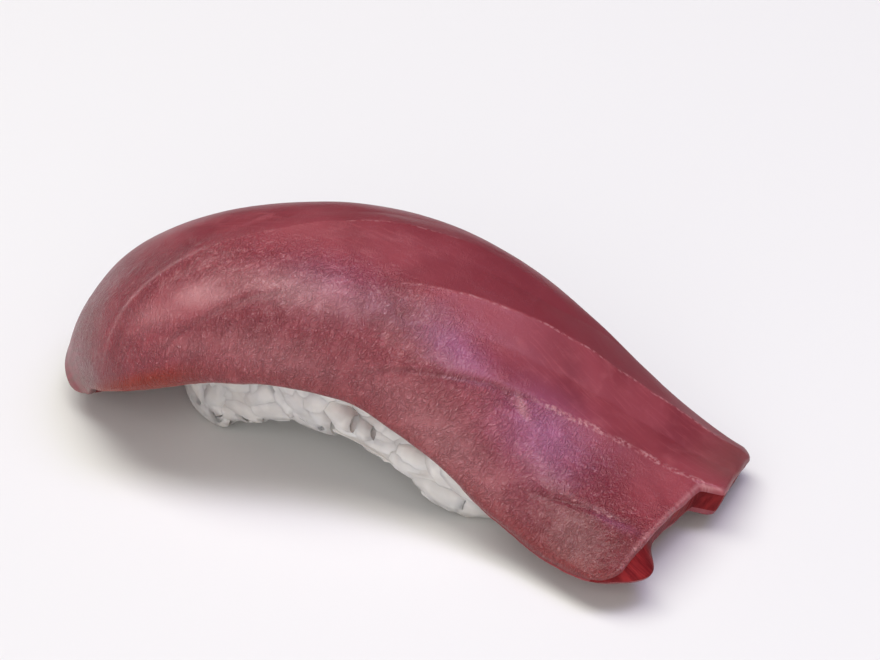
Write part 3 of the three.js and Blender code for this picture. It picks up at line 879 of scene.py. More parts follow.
@dataclass(frozen=True)
class SliceRelief:
    """The face's own relief, in mm: ridges between facets, creases, pebbled flesh and slow swells.

    Its methods read flat places: the distances along the slice and across it from the spine.
    """

    seed: int = 411
    ridges: tuple[tuple[Line, float, float], ...] = (
        (Line.FIRST, 0.25, 3.5),
        (Line.SECOND, 0.55, 5.0),
        (Line.THIRD, 0.45, 5.0),
    )  # line, height, reach
    ridge_fade: float = 6.0
    ridge_overrun: float = 2.0  # how far past its line a ridge goes before it fades
    creases: tuple[tuple[Line, float, float], ...] = (
        (Line.SECOND_FOOT, 0.08, 0.5),
        (Line.FOURTH, 0.13, 0.4),
    )  # line, depth, half width
    crease_fades: Numbers = (1.5, 3.0)  # of its width, of its depth
    third_crease: Numbers = (51.0, 64.0)  # stretch of the third line that is a crease
    third_crease_fades: Numbers = (2.0, 1.0, 1.0, 2.0)
    third_crease_width: float = 0.45
    least_crease: float = 0.15  # depth
    rims: tuple[tuple[Line, float, float, float, float], ...] = (
        (Line.FIRST, 17.0, 47.0, 0.35, 0.22),
        (Line.SECOND, 46.0, 80.0, 0.45, 0.24),
        (Line.THIRD, 64.5, 83.5, 0.6, 0.58),
        (Line.FOURTH, 75.0, 81.0, 0.8, 0.30),
    )  # line, start, end, strength, half width
    rim_fades: Numbers = (1.0, 2.0, 1.0, 1.0)
    rim_height: float = 0.06
    least_rim: float = 0.01  # a weaker rim doesn't take a place from another
    far_off: float = 9.0  # half widths, where there is no rim
    wanders: tuple[Numbers, ...] = ((0.22, 3.1, 0.37), (0.08, 0.9, 0.61))
    # of a line: how far aside, over what length, on which row of the noise
    pebble: Numbers = (1.05, 0.012)  # size, height
    pebble_gap: float = 0.55
    pebble_mean: float = 0.6
    wrinkle: Numbers = (1.0, 0.025)  # size, height
    wrinkle_turn: float = 0.5  # radians
    wrinkle_stretch: Numbers = (1.3, 0.6)
    wrinkle_mean: float = 0.7
    warp: Numbers = (2.3, 0.7)  # size, reach
    warp_shift: Numbers = (31.0, 17.0)  # between the two ways that it pushes
    swell: Numbers = (9.0, 0.14)
    swell_width: float = 0.6  # as a share of its size
    notch: Patch = Patch(63.6, -4.6, 1.5, 0.5, 0.35)
    rough_front: Numbers = (1.5, -4.5)  # across, from smooth to pebbled
    rough_behind: float = 0.12
    facet_calm: float = 0.75
    facet_edge: Numbers = (-0.4, 0.6)
    facet_start: Numbers = (54.0, 61.0)
    steep_end_calm: Numbers = (0.0, 8.0)
    calm: tuple[Patch, ...] = (Patch(27.0, -10.5, 5.0, 2.4, 0.8), Patch(79.5, -2.5, 4.0, 3.4, 0.8))

    def wander(self, along: Array) -> Array:
        """A line's small sideways wandering, in mm: two waves of noise."""
        waves = enumerate(self.wanders, 1)
        return sum(most * Noise(self.seed + k)(along / length, row) for k, (most, length, row) in waves)

    def rough_share(self, along: Array, across: Array) -> Array:
        """How pebbled the face is: most in front, little on the facets behind, least in calm patches.

        Args:
            along: distance along the slice, in mm.
            across: distance from the spine, in mm.

        Returns:
            The share, 0 to 1.
        """
        front = self.rough_behind + (1.0 - self.rough_behind) * smoothstep(across, *self.rough_front)
        behind = np.maximum(Line.SECOND.offset(along, across), Line.THIRD.offset(along, across))
        on_facet = smoothstep(behind, *self.facet_edge) * smoothstep(along, *self.facet_start)
        share = front * (1.0 - self.facet_calm * on_facet)
        for patch in self.calm:
            share = share * (1.0 - patch.share(along, across))
        return share * smoothstep(along, *self.steep_end_calm)

    def ridge_height(self, along: Array, across: Array) -> Array:
        """The highest of the tents over the lines: height * (1 - offset / reach), faded past their ends.

        Args:
            along: distance along the slice, in mm.
            across: distance from the spine, in mm.

        Returns:
            The height, in mm.
        """
        height, fade = np.zeros_like(along), self.ridge_fade
        for line, rise, reach in self.ridges:
            start, end = line.value[0][0], line.value[2][0] + self.ridge_overrun
            run = stretch(along, start, end, (fade, fade, 0.0, fade))
            offset = np.abs(line.offset(along, across) + self.wander(along))
            height = np.maximum(height, rise * run * np.clip(1.0 - offset / reach, 0.0, 1.0))
        return height

    def crease_share(self, along: Array, across: Array) -> Array:
        """How far into a crease a place is: a bell over each line's own stretch.

        Args:
            along: distance along the slice, in mm.
            across: distance from the spine, in mm.

        Returns:
            The share, 0 to 1.
        """
        share, wander = np.zeros_like(along), self.wander(along)
        for line, _, reach in self.creases:
            share = np.maximum(share, line.band(along, across, self.crease_fades[0], reach, wander))
        offset = (Line.THIRD.offset(along, across) + wander) / self.third_crease_width
        run = stretch(along, *self.third_crease, self.third_crease_fades)
        return np.maximum(share, run * np.exp(-offset * offset))

    def seam(self, along: Array, across: Array) -> tuple[Array, Array]:
        """The nearest layer's edge: how many half widths off its line a place lies, and its strength.

        Args:
            along: distance along the slice, in mm.
            across: distance from the spine, in mm.

        Returns:
            The offset in half widths, and the strength.
        """
        nearest, strength = np.full(np.shape(along), self.far_off), np.zeros(np.shape(along))
        for line, start, end, most, half_width in self.rims:
            offset = (line.offset(along, across) + self.wander(along)) / half_width
            run = stretch(along, start, end, self.rim_fades)
            closer = (np.abs(offset) < np.abs(nearest)) & (run > self.least_rim)
            nearest = np.where(closer, offset, nearest)
            strength = np.where(closer, most * run, strength)
        return nearest, strength

    def pebbles(self, along: Array, across: Array) -> Array:
        """Pebbled and wrinkled flesh: domed cells, over warped noise folded at zero into sharp valleys.

        Args:
            along: distance along the slice, in mm.
            across: distance from the spine, in mm.

        Returns:
            The height, in mm.
        """
        warp, (warp_size, reach), (shift_s, shift_w) = Noise(self.seed + 4), self.warp, self.warp_shift
        s = along + reach * warp(along / warp_size, across / warp_size)
        w = across + reach * warp(along / warp_size + shift_s, across / warp_size + shift_w)
        size, height = self.pebble
        near, second = Cells(self.seed + 5)(s / size, w / size)
        domes = smoothstep(second - near, 0.0, self.pebble_gap)
        size, fold_height = self.wrinkle
        run = s * math.cos(self.wrinkle_turn) + w * math.sin(self.wrinkle_turn)
        over = w * math.cos(self.wrinkle_turn) - s * math.sin(self.wrinkle_turn)
        long_way, short_way = self.wrinkle_stretch
        folds = np.abs(Noise(self.seed + 6)(run / (long_way * size), over / (short_way * size)))
        return height * (domes - self.pebble_mean) + fold_height * (2.0 * folds - self.wrinkle_mean)

    def height(self, along: Array, across: Array) -> Array:
        """Everything together, in mm off the plain face.

        Args:
            along: distance along the slice, in mm.
            across: distance from the spine, in mm.

        Returns:
            The height, in mm.
        """
        size, rise = self.swell
        swells = rise * Noise(self.seed + 7)(along / size, across / (self.swell_width * size))
        deepest = np.full_like(along, self.least_crease)
        for line, depth, _ in self.creases:
            deepest = np.maximum(deepest, depth * line.run(along, self.crease_fades[1]))
        dig = deepest * self.crease_share(along, across) + self.notch.share(along, across)
        offset, strength = self.seam(along, across)
        rims = self.rim_height * strength * np.exp(-0.25 * offset * offset)
        rough = self.rough_share(along, across) * self.pebbles(along, across)
        return self.ridge_height(along, across) + swells + rims + rough - dig


@dataclass(frozen=True)
class FleshPattern:
    """Where the flat face is pale, carries painted highlights, painted purple reflection or painted shade
    with brown streaks, is of a darker tone, or shows painted light through its thin edge; s is along it and w
    across it.
    """

    # Painted purple reflection: where the face would mirror the bluish lamp.
    violet: tuple[Patch, ...] = (
        Patch(41.0, -5.0, 5.5, 3.0, 0.35),
        Patch(55.5, -4.3, 4.5, 2.2, 0.65),
        Patch(67.5, -4.6, 5.0, 4.0, 0.75),
        Patch(79.0, -8.0, 2.5, 0.6, 0.5),
    )
    # Painted highlights along the lit band and the low front; the last patch is a small pale fleck of the
    # flesh.
    highlight_and_pale_patches: tuple[Patch, ...] = (
        Patch(23.5, -11.8, 3.6, 1.8, 0.28),
        Patch(28.5, -9.4, 4.2, 1.9, 0.34),
        Patch(37.5, -6.9, 6.5, 2.6, 0.36),
        Patch(29.0, -15.3, 5.0, 1.3, 0.16),
        Patch(38.0, -14.5, 9.0, 2.2, 0.17),
        Patch(60.0, -12.2, 9.0, 2.6, 0.22),
        Patch(64.3, -4.0, 1.3, 0.4, 0.5, slant=-0.45),
    )
    # The first two are darker patches on the low front; the third, the crown and the steep end's shoulder are
    # painted shade.
    shade_and_dark_patches: tuple[Patch | Slope, ...] = (
        Patch(65.0, -10.2, 3.2, 1.4, 0.6),
        Patch(40.0, -13.2, 3.5, 1.2, 0.35),
        Patch(15.0, -3.5, 4.0, 2.5, 0.6),
        Slope(1.0, (52.0, 42.0), (3.0, 9.0)),  # the crown
        Slope(1.2, (22.0, 12.0), (-6.0, -2.0)),  # the steep end's shoulder
    )
    shaded_facet: tuple[Numbers, ...] = ((-0.1, 0.4), (44.0, 52.0))
    # painted shade on the far facet, behind the second line: from how far off it, and from where along
    streak: Numbers = (0.35, 3.0, 0.55)  # strength, fade, half width
    streak_shade: Numbers = (0.5, 2.0, 1.1, 2.6)  # likewise, and how far in front
    # The low cut's lip is pale partly in its own colour and partly as painted highlight on its rounded edge.
    lip: Numbers = (0.6, 0.12, 0.18)  # the low cut's pale lip: strength, least and added width
    lip_across: tuple[Numbers, ...] = ((-14.0, -9.0), (3.8, 4.8))
    lip_drag: tuple[tuple[int, float], ...] = ((73, 0.35), (74, 1.7))  # seed, length of its unevenness
    lip_breaks: tuple[int, float, float, float] = (76, 0.45, 0.6, 0.7)  # seed, length, mean, swing
    # The steep end's brown streaks, darkened as painted shade.
    brown_shaded_end: Slope = Slope(1.0, (17.0, 3.0), (1.0, -6.0))
    brown_end_streaks: tuple[int, float, float, float, float] = (75, 0.5, 4.0, 0.6, 0.8)
    # seed, width, length, mean, swing of the steep end's streaks, which run aslant
    # Painted shade on the low end's two corners.
    shaded_tips: tuple[Slope, ...] = (
        Slope(0.45, (70.0, 77.0), (-6.5, -10.0)),
        Slope(0.7, (77.0, 83.0), (3.5, 8.0)),
    )
    brown_and_shade_most: float = 0.7
    dark_most: float = 0.8
    glow_most: float = 1.1
    glow_edge: Numbers = (2.4, 0.5)  # distances from the front edge, in mm
    glow_start: Numbers = (6.0, 12.0)
    glow_end: Numbers = (24.0, 34.0, 0.8)  # the last is how much fades

    def pale(self, s: Array, w: Array, past: Array) -> Array:
        """Painted highlights and a pale fleck, one pale streak, and the uneven lip where the low end is cut,
        pale partly as painted highlight, past being the way to it.

        Args:
            s: distance along the slice, in mm.
            w: distance from the spine, in mm.
            past: how far past the low end's lip a place lies, in mm.

        Returns:
            The share of the pale and highlight colour.
        """
        strength, fade, reach = self.streak
        streak = strength * Line.STREAK.band(s, w, fade, reach)
        drag = 0.5 + sum(0.5 * Noise(seed)(w / length, 0.0 * w) for seed, length in self.lip_drag)
        most, least, added = self.lip
        lip = most * np.exp(-((past / (least + added * drag)) ** 2)) * window(w, *self.lip_across)
        seed, length, mean, swing = self.lip_breaks
        lip = lip * np.clip(mean + swing * Noise(seed)(w / length, 0.0 * w), 0.0, 1.0)
        pale = np.maximum(np.maximum(lip, streak), strongest(self.highlight_and_pale_patches, s, w))
        return np.clip(pale, 0.0, 1.0)

    def brown_streaks_and_shade(self, s: Array, w: Array) -> Array:
        """The steep end, brown and darkened as painted shade, broken into oblique streaks, and painted shade
        on the low end's two corners.

        Args:
            s: distance along the slice, in mm.
            w: distance from the spine, in mm.

        Returns:
            The share of the brownish colour.
        """
        seed, width, length, mean, swing = self.brown_end_streaks
        streaks = Noise(seed)((w + 0.5 * s) / width, (s - 0.5 * w) / length)
        end = self.brown_shaded_end.share(s, w) * np.clip(mean + swing * streaks, 0.0, 1.0)
        return self.brown_and_shade_most * np.maximum(end, strongest(self.shaded_tips, s, w))

    def dark_tone_and_shade(self, s: Array, w: Array) -> Array:
        """Painted shade on the far facet, the crown, the shoulder and the left end, two darker patches, and a
        shade in front of the streak.

        Args:
            s: distance along the slice, in mm.
            w: distance from the spine, in mm.

        Returns:
            The share of the deep colour.
        """
        edge, start = self.shaded_facet
        facet = smoothstep(Line.SECOND.offset(s, w), *edge) * smoothstep(s, *start)
        strength, fade, reach, aside = self.streak_shade
        shade = strength * Line.STREAK.band(s, w, fade, reach, aside)
        return self.dark_most * np.maximum(np.maximum(facet, shade), strongest(self.shade_and_dark_patches, s, w))

    def glow(self, s: Array, to_front: Array) -> Array:
        """Light through the thin front edge: strongest at it, and only along part of the slice.

        Args:
            s: distance along the slice, in mm.
            to_front: distance from the front edge, in mm.

        Returns:
            The share of the glow colour.
        """
        *fade, most = self.glow_end
        lit = smoothstep(s, *self.glow_start) * (1.0 - most * smoothstep(s, *fade))
        return np.clip(self.glow_most * smoothstep(to_front, *self.glow_edge) * lit, 0.0, 1.0)


@dataclass(frozen=True)
class Sheet:
    """The upper face's flat grid, each columns by rows, in mm."""

    along: Array
    across: Array
    to_side: Array
    to_end: Array
    thickness: Array

    def corner_drop(self, radius: Array) -> Array:
        """How far a rounded edge lies under the flat: a quarter circle over side and end together."""
        side, end = (np.clip(1.0 - away / radius, 0.0, None) for away in (self.to_side, self.to_end))
        return radius * round_drop(1.0 - np.hypot(side, end), 1.0)


@dataclass
class TunaSlice:
    """The slab of raw tuna: a fine upper sheet, a cut wall all round, and a plainer underside."""

    drape: Drape = field(default_factory=Drape)
    relief: SliceRelief = field(default_factory=SliceRelief)
    pattern: FleshPattern = field(default_factory=FleshPattern)
    finish: FleshFinish = field(default_factory=FleshFinish)
    cut_finish: CutFinish = field(default_factory=CutFinish)
    columns: int = 376  # equal steps along, without the crowded ends; even
    rows: int = 144  # equal steps across, likewise
    edge_steps: int = 8
    crowded: Numbers = (0.016, 0.045)  # the share of each way that a crowded end takes
    wall_rings: int = 7
    top_round: float = 1.0
    low_end_round: float = 0.4  # the low end's upper edge is a crisper cut
    low_round_from: Numbers = (74.0, 82.0)
    under_round: float = 0.8
    round_shares: Numbers = (0.5, 0.3)  # the most of the thickness that each rounding takes
    plain_rim: Numbers = (-0.2, 1.2)  # distances from the edge over which the relief begins
    steep_end_bulge: float = 1.6
    steep_end_lobe: Numbers = (1.1, -1.0, -7.0)  # reach, across from and to
    steep_end_corner: float = 5.2
    low_end_corner: float = 2.2
    low_end_step: Numbers = (2.1, 2.6, 4.1, 17.0)  # reach, its rise, its end
    edge_waver: Numbers = (6.5, 0.28)  # length and height of the long edges' unevenness
    end_waver: Numbers = (3.5, 0.18)
    waver_seed: int = 91
    waver_rows: Numbers = (0.3, 7.3, 13.3, 19.3)  # front, back, start, end
    cut_slant: Patch = Patch(0.0, -10.8, 1.0, 3.0, 2.5)
    cut_slant_least: float = -0.4
    cut_slant_from: Numbers = (75.0, 83.0)
    belly: float = 0.18  # how full the wall is, but not at the low end
    belly_to: Numbers = (80.0, 83.0)
    knife_drag: tuple[int, float, float] = (57, 0.05, 0.9)  # seed, height, size
    lip_inset: float = 0.3  # the low cut's pale lip runs this far from it
    crease_shade: float = 0.6

    def low_end_reach(self, across: Array) -> Array:
        """How much further than the spine the low end reaches: a step that fades to the back, in mm."""
        reach, rise, full, end = self.low_end_step
        return reach * smoothstep(across, rise, full) * np.clip((end - across) / (end - full), 0.0, 1.0)

    def sheet(self) -> Sheet:
        """The upper face's flat places, with their distances to the nearest side and end.

        Returns:
            The sheet.
        """
        along_crowd, across_crowd = self.crowded
        shares_along = edged_shares(self.columns, along_crowd, self.edge_steps)[:, None]
        shares_across = edged_shares(self.rows, across_crowd, self.edge_steps)[None, :]
        (side_size, side_waver), (end_size, end_waver) = self.edge_waver, self.end_waver
        noise, rows = Noise(self.waver_seed), self.waver_rows
        place = shares_along * self.drape.length / side_size
        front = along_stations(self.drape.front_width, shares_along) + side_waver * noise(place, rows[0])
        back = along_stations(self.drape.back_width, shares_along) + side_waver * noise(place, rows[1])
        across = -front + shares_across * (front + back)
        to_side = np.minimum(across + front, back - across)
        lobe, *lobe_across = self.steep_end_lobe
        start = (
            round_drop(to_side, self.steep_end_corner)
            - self.steep_end_bulge * (1.0 - (2.0 * shares_across - 1.0) ** 2)
            - lobe * smoothstep(across, *lobe_across)
            + end_waver * noise(across / end_size, rows[2])
        )
        end = (
            self.drape.length
            + self.low_end_reach(across)
            - round_drop(to_side, self.low_end_corner)
            + end_waver * noise(across / end_size, rows[3])
        )
        along = start + shares_along * (end - start)
        to_end = np.minimum(along - start, end - along)
        return Sheet(along, across, to_side + 0.0 * along, to_end, self.drape.depth(along, across))

    @staticmethod
    def border(columns: int, rows: int) -> Array:
        """The point numbers round a grid, front side first, as one loop."""
        at = np.arange(columns * rows).reshape(columns, rows)
        return np.concatenate([at[:-1, 0], at[-1, :-1], at[:0:-1, -1], at[0, :0:-1]])

    @staticmethod
    def grid_quads(columns: int, rows: int, first: int, up: bool) -> Array:
        """A grid's quads, facing up or down.

        Args:
            columns: points one way.
            rows: points the other way.
            first: the grid's first point number.
            up: whether they face up.

        Returns:
            n by 4 point numbers.
        """
        at = first + np.arange(columns * rows).reshape(columns, rows)
        a, b, c, d = at[:-1, :-1], at[1:, :-1], at[1:, 1:], at[:-1, 1:]
        return np.stack([part.ravel() for part in ((a, b, c, d) if up else (a, d, c, b))], axis=-1)

    def top(self, sheet: Sheet) -> Array:
        """The upper sheet's points: the relief, held back from the rounded edge.

        Args:
            sheet: the upper face's grid.

        Returns:
            Columns by rows by 3.
        """
        crisper = smoothstep(sheet.along, *self.low_round_from)
        radius = self.top_round + (self.low_end_round - self.top_round) * crisper
        radius = np.minimum(radius, self.round_shares[0] * sheet.thickness)
        inner = smoothstep(np.minimum(sheet.to_side, sheet.to_end), *self.plain_rim)
        relief = self.relief.height(sheet.along, sheet.across) * inner
        return self.drape.place(sheet.along, sheet.across, relief - sheet.corner_drop(radius))

    def under(self, sheet: Sheet) -> Array:
        """The underside's points, which the low end's slanted cut pushes on.

        Args:
            sheet: the upper face's grid.

        Returns:
            Columns by rows by 3.
        """
        radius = np.minimum(self.under_round, self.round_shares[1] * sheet.thickness)
        slant = self.cut_slant_least + self.cut_slant.share(0.0 * sheet.along, sheet.across)
        along = sheet.along + slant * smoothstep(sheet.along, *self.cut_slant_from)
        return self.drape.place(along, sheet.across, sheet.corner_drop(radius) - sheet.thickness)

    def wall(self, s: Array, w: Array, top: Array, under: Array) -> Array:
        """The cut wall's rings between the two sheets' borders.

        It is flat at the low end and slightly full elsewhere, with the knife's drag, by a half sine.

        Args:
            s: each border point's distance along.
            w: its distance across.
            top: the upper sheet's border points.
            under: the underside's.

        Returns:
            wall_rings by n by 3 points.
        """
        shares = self.wall_shares()
        seed, height, size = self.knife_drag
        drag = height * Noise(seed)(w / size + s / size, 3.0 * shares)
        bulge = self.belly * (1.0 - smoothstep(s, *self.belly_to)) + drag
        swell = (np.sin(np.pi * shares) * bulge)[..., None] * self.outward(s, w)
        return top + shares[..., None] * (under - top) + swell

    def wall_shares(self) -> Array:
        """How far down the wall each ring lies, one a row."""
        return ((np.arange(self.wall_rings) + 1.0) / (self.wall_rings + 1.0))[:, None]

    def outward(self, s: Array, w: Array) -> Array:
        """The way out of the slab at each border point: square to the border, in the face.

        Args:
            s: each border point's distance along.
            w: its distance across.

        Returns:
            n by 3, each about 1 long.
        """
        step = 0.2
        here = self.drape.place(s, w, 0.0)
        ahead = self.drape.place(s + step, w, 0.0) - here
        behind = self.drape.place(s, w + step, 0.0) - here
        forward, sideways = (np.roll(way, -1) - np.roll(way, 1) for way in (s, w))
        length = np.hypot(forward, sideways)
        return ((sideways / length)[:, None] * ahead - (forward / length)[:, None] * behind) / step

    def faces(self, columns: int, rows: int) -> tuple[list[Array], Array]:
        """The slab's faces: upper sheet, wall, the seam to the half as fine underside, underside.

        Args:
            columns: the upper sheet's points along.
            rows: its points across.

        Returns:
            The arrays of faces, and which of all the faces lie on the two cut ends.
        """
        ring = self.border(columns, rows)
        half = (columns + 1) // 2, (rows + 1) // 2
        n_top, n_ring = columns * rows, len(ring)
        wall_points = n_top + np.arange(self.wall_rings * n_ring).reshape(-1, n_ring)
        rings = np.concatenate([ring[None], wall_points])
        beside = np.roll(rings, -1, axis=1)
        quads = np.stack([rings[:-1], rings[1:], beside[1:], beside[:-1]], axis=-1).reshape(-1, 4)
        last, first_under = rings[-1], n_top + self.wall_rings * n_ring
        coarse = first_under + self.border(*half)
        even, odd, after, beyond = last[::2], last[1::2], np.roll(last, -2)[::2], np.roll(coarse, -1)
        corners = ((even, coarse, odd), (odd, coarse, beyond), (odd, beyond, after))
        seam = np.concatenate([np.stack(three, axis=-1) for three in corners])
        top = self.grid_quads(columns, rows, 0, up=True)
        under = self.grid_quads(*half, first_under, up=False)
        place, low, back = np.arange(n_ring), columns - 1, columns + rows - 2
        cut = ((place >= low) & (place < back)) | (place >= back + columns - 1)
        on_wall = np.concatenate([np.tile(cut, self.wall_rings), np.tile(cut[::2], 3)])
        on_cut = np.concatenate([np.zeros(len(top)), on_wall, np.zeros(len(under))])
        return [top, quads, seam, under], on_cut

    def build(self) -> Thing:
        """Makes the closed slab and the masks that its finish reads.

        Returns:
            The slice's object.
        """
        sheet = self.sheet()
        columns, rows = sheet.along.shape
        ring = self.border(columns, rows)
        s, w = sheet.along.ravel()[ring], sheet.across.ravel()[ring]
        top, under = self.top(sheet), self.under(sheet)
        wall = self.wall(s, w, top.reshape(-1, 3)[ring], under.reshape(-1, 3)[ring])
        faces, cut = self.faces(columns, rows)
        points = [part.reshape(-1, 3) for part in (top, wall, under[::2, ::2])]
        slab = make_mesh("tuna_flesh", np.concatenate(points), faces)
        slab.data.polygons.foreach_set("material_index", cut.astype(np.int32))
        self.mark(slab, sheet, ring)
        return slab

    def mark(self, slab: Thing, sheet: Sheet, ring: Array) -> None:
        """Stores the flat place and the colour masks on the points: top sheet, wall, underside in turn.

        Args:
            slab: the slice's object.
            sheet: the upper face's grid.
            ring: the point numbers round it.
        """

        def everywhere(part: Array) -> Array:
            """A value of the sheet on all the slab's points."""
            on_wall = np.tile(part.ravel()[ring], self.wall_rings)
            return np.concatenate([part.ravel(), on_wall, part[::2, ::2].ravel()])

        s, w, thickness = (everywhere(part) for part in (sheet.along, sheet.across, sheet.thickness))
        upper, walls = sheet.along.size, self.wall_rings * len(ring)
        down = np.repeat(self.wall_shares(), len(ring))
        down = np.concatenate([np.zeros(upper), down, np.ones(len(s) - upper - walls)])
        top = np.arange(len(s)) < upper
        off_wall = top | (np.arange(len(s)) >= upper + walls)
        past = s - (self.drape.length - self.lip_inset) - self.low_end_reach(w)
        to_front = w + along_stations(self.drape.front_width, self.drape.share(s))
        offset, strength = self.relief.seam(s, w)
        masks = {
            "flat": np.stack([s, w, -down * thickness], axis=-1),
            "rough": self.relief.rough_share(s, w) * top,
            "seam": np.stack([offset, strength * top, 0.0 * s], axis=-1),
            # Painted shade in the creases.
            "crease": self.crease_shade * self.relief.crease_share(s, w) * top,
            # Painted highlights, a pale fleck, the pale streak and the lip.
            "pale_film_and_highlight": self.pattern.pale(s, w, past) * top,
            # Brown streaks darkened as painted shade, and painted shade on the corners.
            "brown_streaks_and_shade": self.pattern.brown_streaks_and_shade(s, w) * off_wall,
            # Painted purple reflection.
            "painted_purple_reflection": strongest(self.pattern.violet, s, w) * top,
            # Painted shade on the face's shaded parts, and darker patches.
            "deep_tone_and_shade": self.pattern.dark_tone_and_shade(s, w) * top,
            "glow": self.pattern.glow(s, to_front),
        }
        for name, values in masks.items():
            set_attribute(slab, name, values)

    def dress(self, slab: Thing) -> Thing:
        """Gives the slice its finish and its place in the frame.

        Args:
            slab: the slice's object.

        Returns:
            The same object.
        """
        slab.data.materials.append(self.finish.material())
        slab.data.materials.append(self.cut_finish.material())
        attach(slab, "root")
        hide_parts("tuna_slice")
        return slab


# ---- The rice -------------------------------------------------------------------------------


class Draws:
    """Repeatable draws from -1 to 1: each state is the last one times FACTOR, modulo MODULUS."""

    FACTOR = 16807
    MODULUS = 2**31 - 1

    def __init__(self, seed: int) -> None:
        """Starts the row of states at the seed."""
        self.state = seed

    def take(self, count: int) -> Array:
        """The next draws.

        Args:
            count: how many.

        Returns:
            The draws.
        """
        values = []
        for _ in range(count):
            self.state = self.state * self.FACTOR % self.MODULUS
            values.append(2.0 * self.state / self.MODULUS - 1.0)
        return np.array(values)


@dataclass
class RiceBlock:
    """The pressed rice: a core with a tucked foot and an arched underside, and the grains laid on it."""

    drape: Drape = field(default_factory=Drape)
    core_finish: RiceFinish = RiceFinish("rice_heart", (0.60, 0.57, 0.545), (0.69, 0.665, 0.64), 0.5)
    grain_finish: RiceFinish = RiceFinish("cooked_rice")
    length: float = 43.5
    width: float = 19.8
    centre: Numbers = (-5.9, 0.3)
    squareness: float = 3.6
    waist: float = 6.0
    top: float = 26.0
    foot_inset: Numbers = (3.2, 0.9)
    shoulder_inset: Numbers = (2.0, 2.5)
    arch: Numbers = (6.3, 31.5, 11.0)  # height, span, level at which it has faded
    bed_gap: float = 0.35

    grain_size: Numbers = (7.0, 3.4, 2.8)
    grain_rings: int = 6
    grain_sides: int = 10
    bluntness: float = 2.6
    sink: float = 0.6
    filler_sink: float = 0.95  # the grains that fill the gaps lie this deep
    bed_reach: float = 3.2  # grains up to this far over the bed are tucked under it
    core_swell: float = 0.28  # the core is this much fuller than the plain block, between its grains
    proud: Numbers = (0.2, 0.62)  # past the first, grains are pressed back; none gets past the second
    first_row: float = 1.9
    row_height: float = 2.9
    row_count: int = 6
    grains_a_row: int = 23
    under_reach: Numbers = (11.0, 6.6)
    under_step: float = 4.4
    size_spread: float = 0.12
    most_turn: float = 75.0
    most_low_turn: float = 20.0  # the lowest row keeps the foot's outline
    most_tilt: float = 12.0
    seed: int = 20731
    turn_spread: float = 0.25  # of a grain's place in its row, in steps
    level_spread: float = 0.4
    under_spread: Numbers = (1.0, 0.5)
    bends: Numbers = (0.45, 0.25)  # a grain's bend to its side and up, in mm
    bend_mean: float = 0.35
    pinch: float = 0.10  # how much thicker one end may be
    ripple: float = 0.035

    core_sides: int = 120
    core_levels: int = 26
    core_crowding: float = 1.3  # the levels crowd towards the foot by this power
    core_foot: Numbers = (0.14, 0.28, 0.42, 0.55, 0.67, 0.78, 0.86)  # shares of its reach
    core_cap: Numbers = (0.94, 0.82, 0.68, 0.54, 0.4, 0.26, 0.12)
    core_halvings: int = 18
    core_relief: tuple[int, float] = (33, 0.08)  # seed, height
    core_waves: Numbers = (2.2, 2.7, 1.6, 3.1)  # its lengths along x and y, and along z and y
    core_shade: float = 0.4
    bed_along: tuple[float, float, int] = (0.0, 83.0, 84)  # the coarse grid: from, to, how many
    bed_across: tuple[float, float, int] = (-17.0, 13.5, 32)
    bed_limits: tuple[Numbers, ...] = ((-3.0, 88.0), (-21.0, 16.0))
    bed_refinings: int = 8

    def inset(self, height: Array, axis: int) -> Array:
        """How far the side is tucked in: a quarter ellipse below the waist, a square law above it.

        Args:
            height: the level, in mm.
            axis: 0 for the ends, 1 for the long sides.

        Returns:
            The inset at each level, in mm.
        """
        below = np.clip((self.waist - height) / self.waist, 0.0, 1.0)
        above = np.clip((height - self.waist) / (self.top - self.waist), 0.0, 2.0)
        return np.where(
            height < self.waist,
            self.foot_inset[axis] * (1.0 - np.sqrt(1.0 - below * below)),
            self.shoulder_inset[axis] * above * above,
        )

    def arch_lift(self, x: Array, height: Array) -> Array:
        """How far the underside is lifted: a parabola along x that fades with height.

        Args:
            x: the place along the block, in mm.
            height: the level, in mm.

        Returns:
            The lift, in mm.
        """
        rise, span, fades_at = self.arch
        share = np.clip(2.0 * (x - self.centre[0]) / span, -1.0, 1.0)
        return rise * (1.0 - share * share) * np.clip(1.0 - height / fades_at, 0.0, 1.0)

    def side(self, turn: Array, height: Array, share: Array | float = 1.0) -> Array:
        """A point of the side: a superellipse at each level, drawn in to a share of its size.

        Args:
            turn: the superellipse's own angle, in radians.
            height: the level, in mm.
            share: how far out from the middle.

        Returns:
            Points in mm, with one more axis.
        """
        turn, height, share = np.broadcast_arrays(turn, height, share)
        power = 2.0 / self.squareness
        spread_x = np.sign(np.cos(turn)) * np.abs(np.cos(turn)) ** power
        spread_y = np.sign(np.sin(turn)) * np.abs(np.sin(turn)) ** power
        x = self.centre[0] + spread_x * (self.length / 2 - self.inset(height, 0)) * share
        y = self.centre[1] + spread_y * (self.width / 2 - self.inset(height, 1)) * share
        return np.stack([x, y, height + self.arch_lift(x, height)], axis=-1)

    def turn_at(self, share: Array) -> Array:
        """The turn at a share of the way round the block, by running lengths round its widest level.

        Args:
            share: the share of the way round.

        Returns:
            The turn, in radians.
        """
        turns = 2.0 * np.pi * np.arange(721) / 720
        ring = self.side(turns, np.array(self.waist))[:, :2]
        lengths = np.concatenate([[0.0], np.cumsum(np.hypot(*np.diff(ring, axis=0).T))])
        return np.interp(np.mod(share, 1.0) * lengths[-1], lengths, turns)

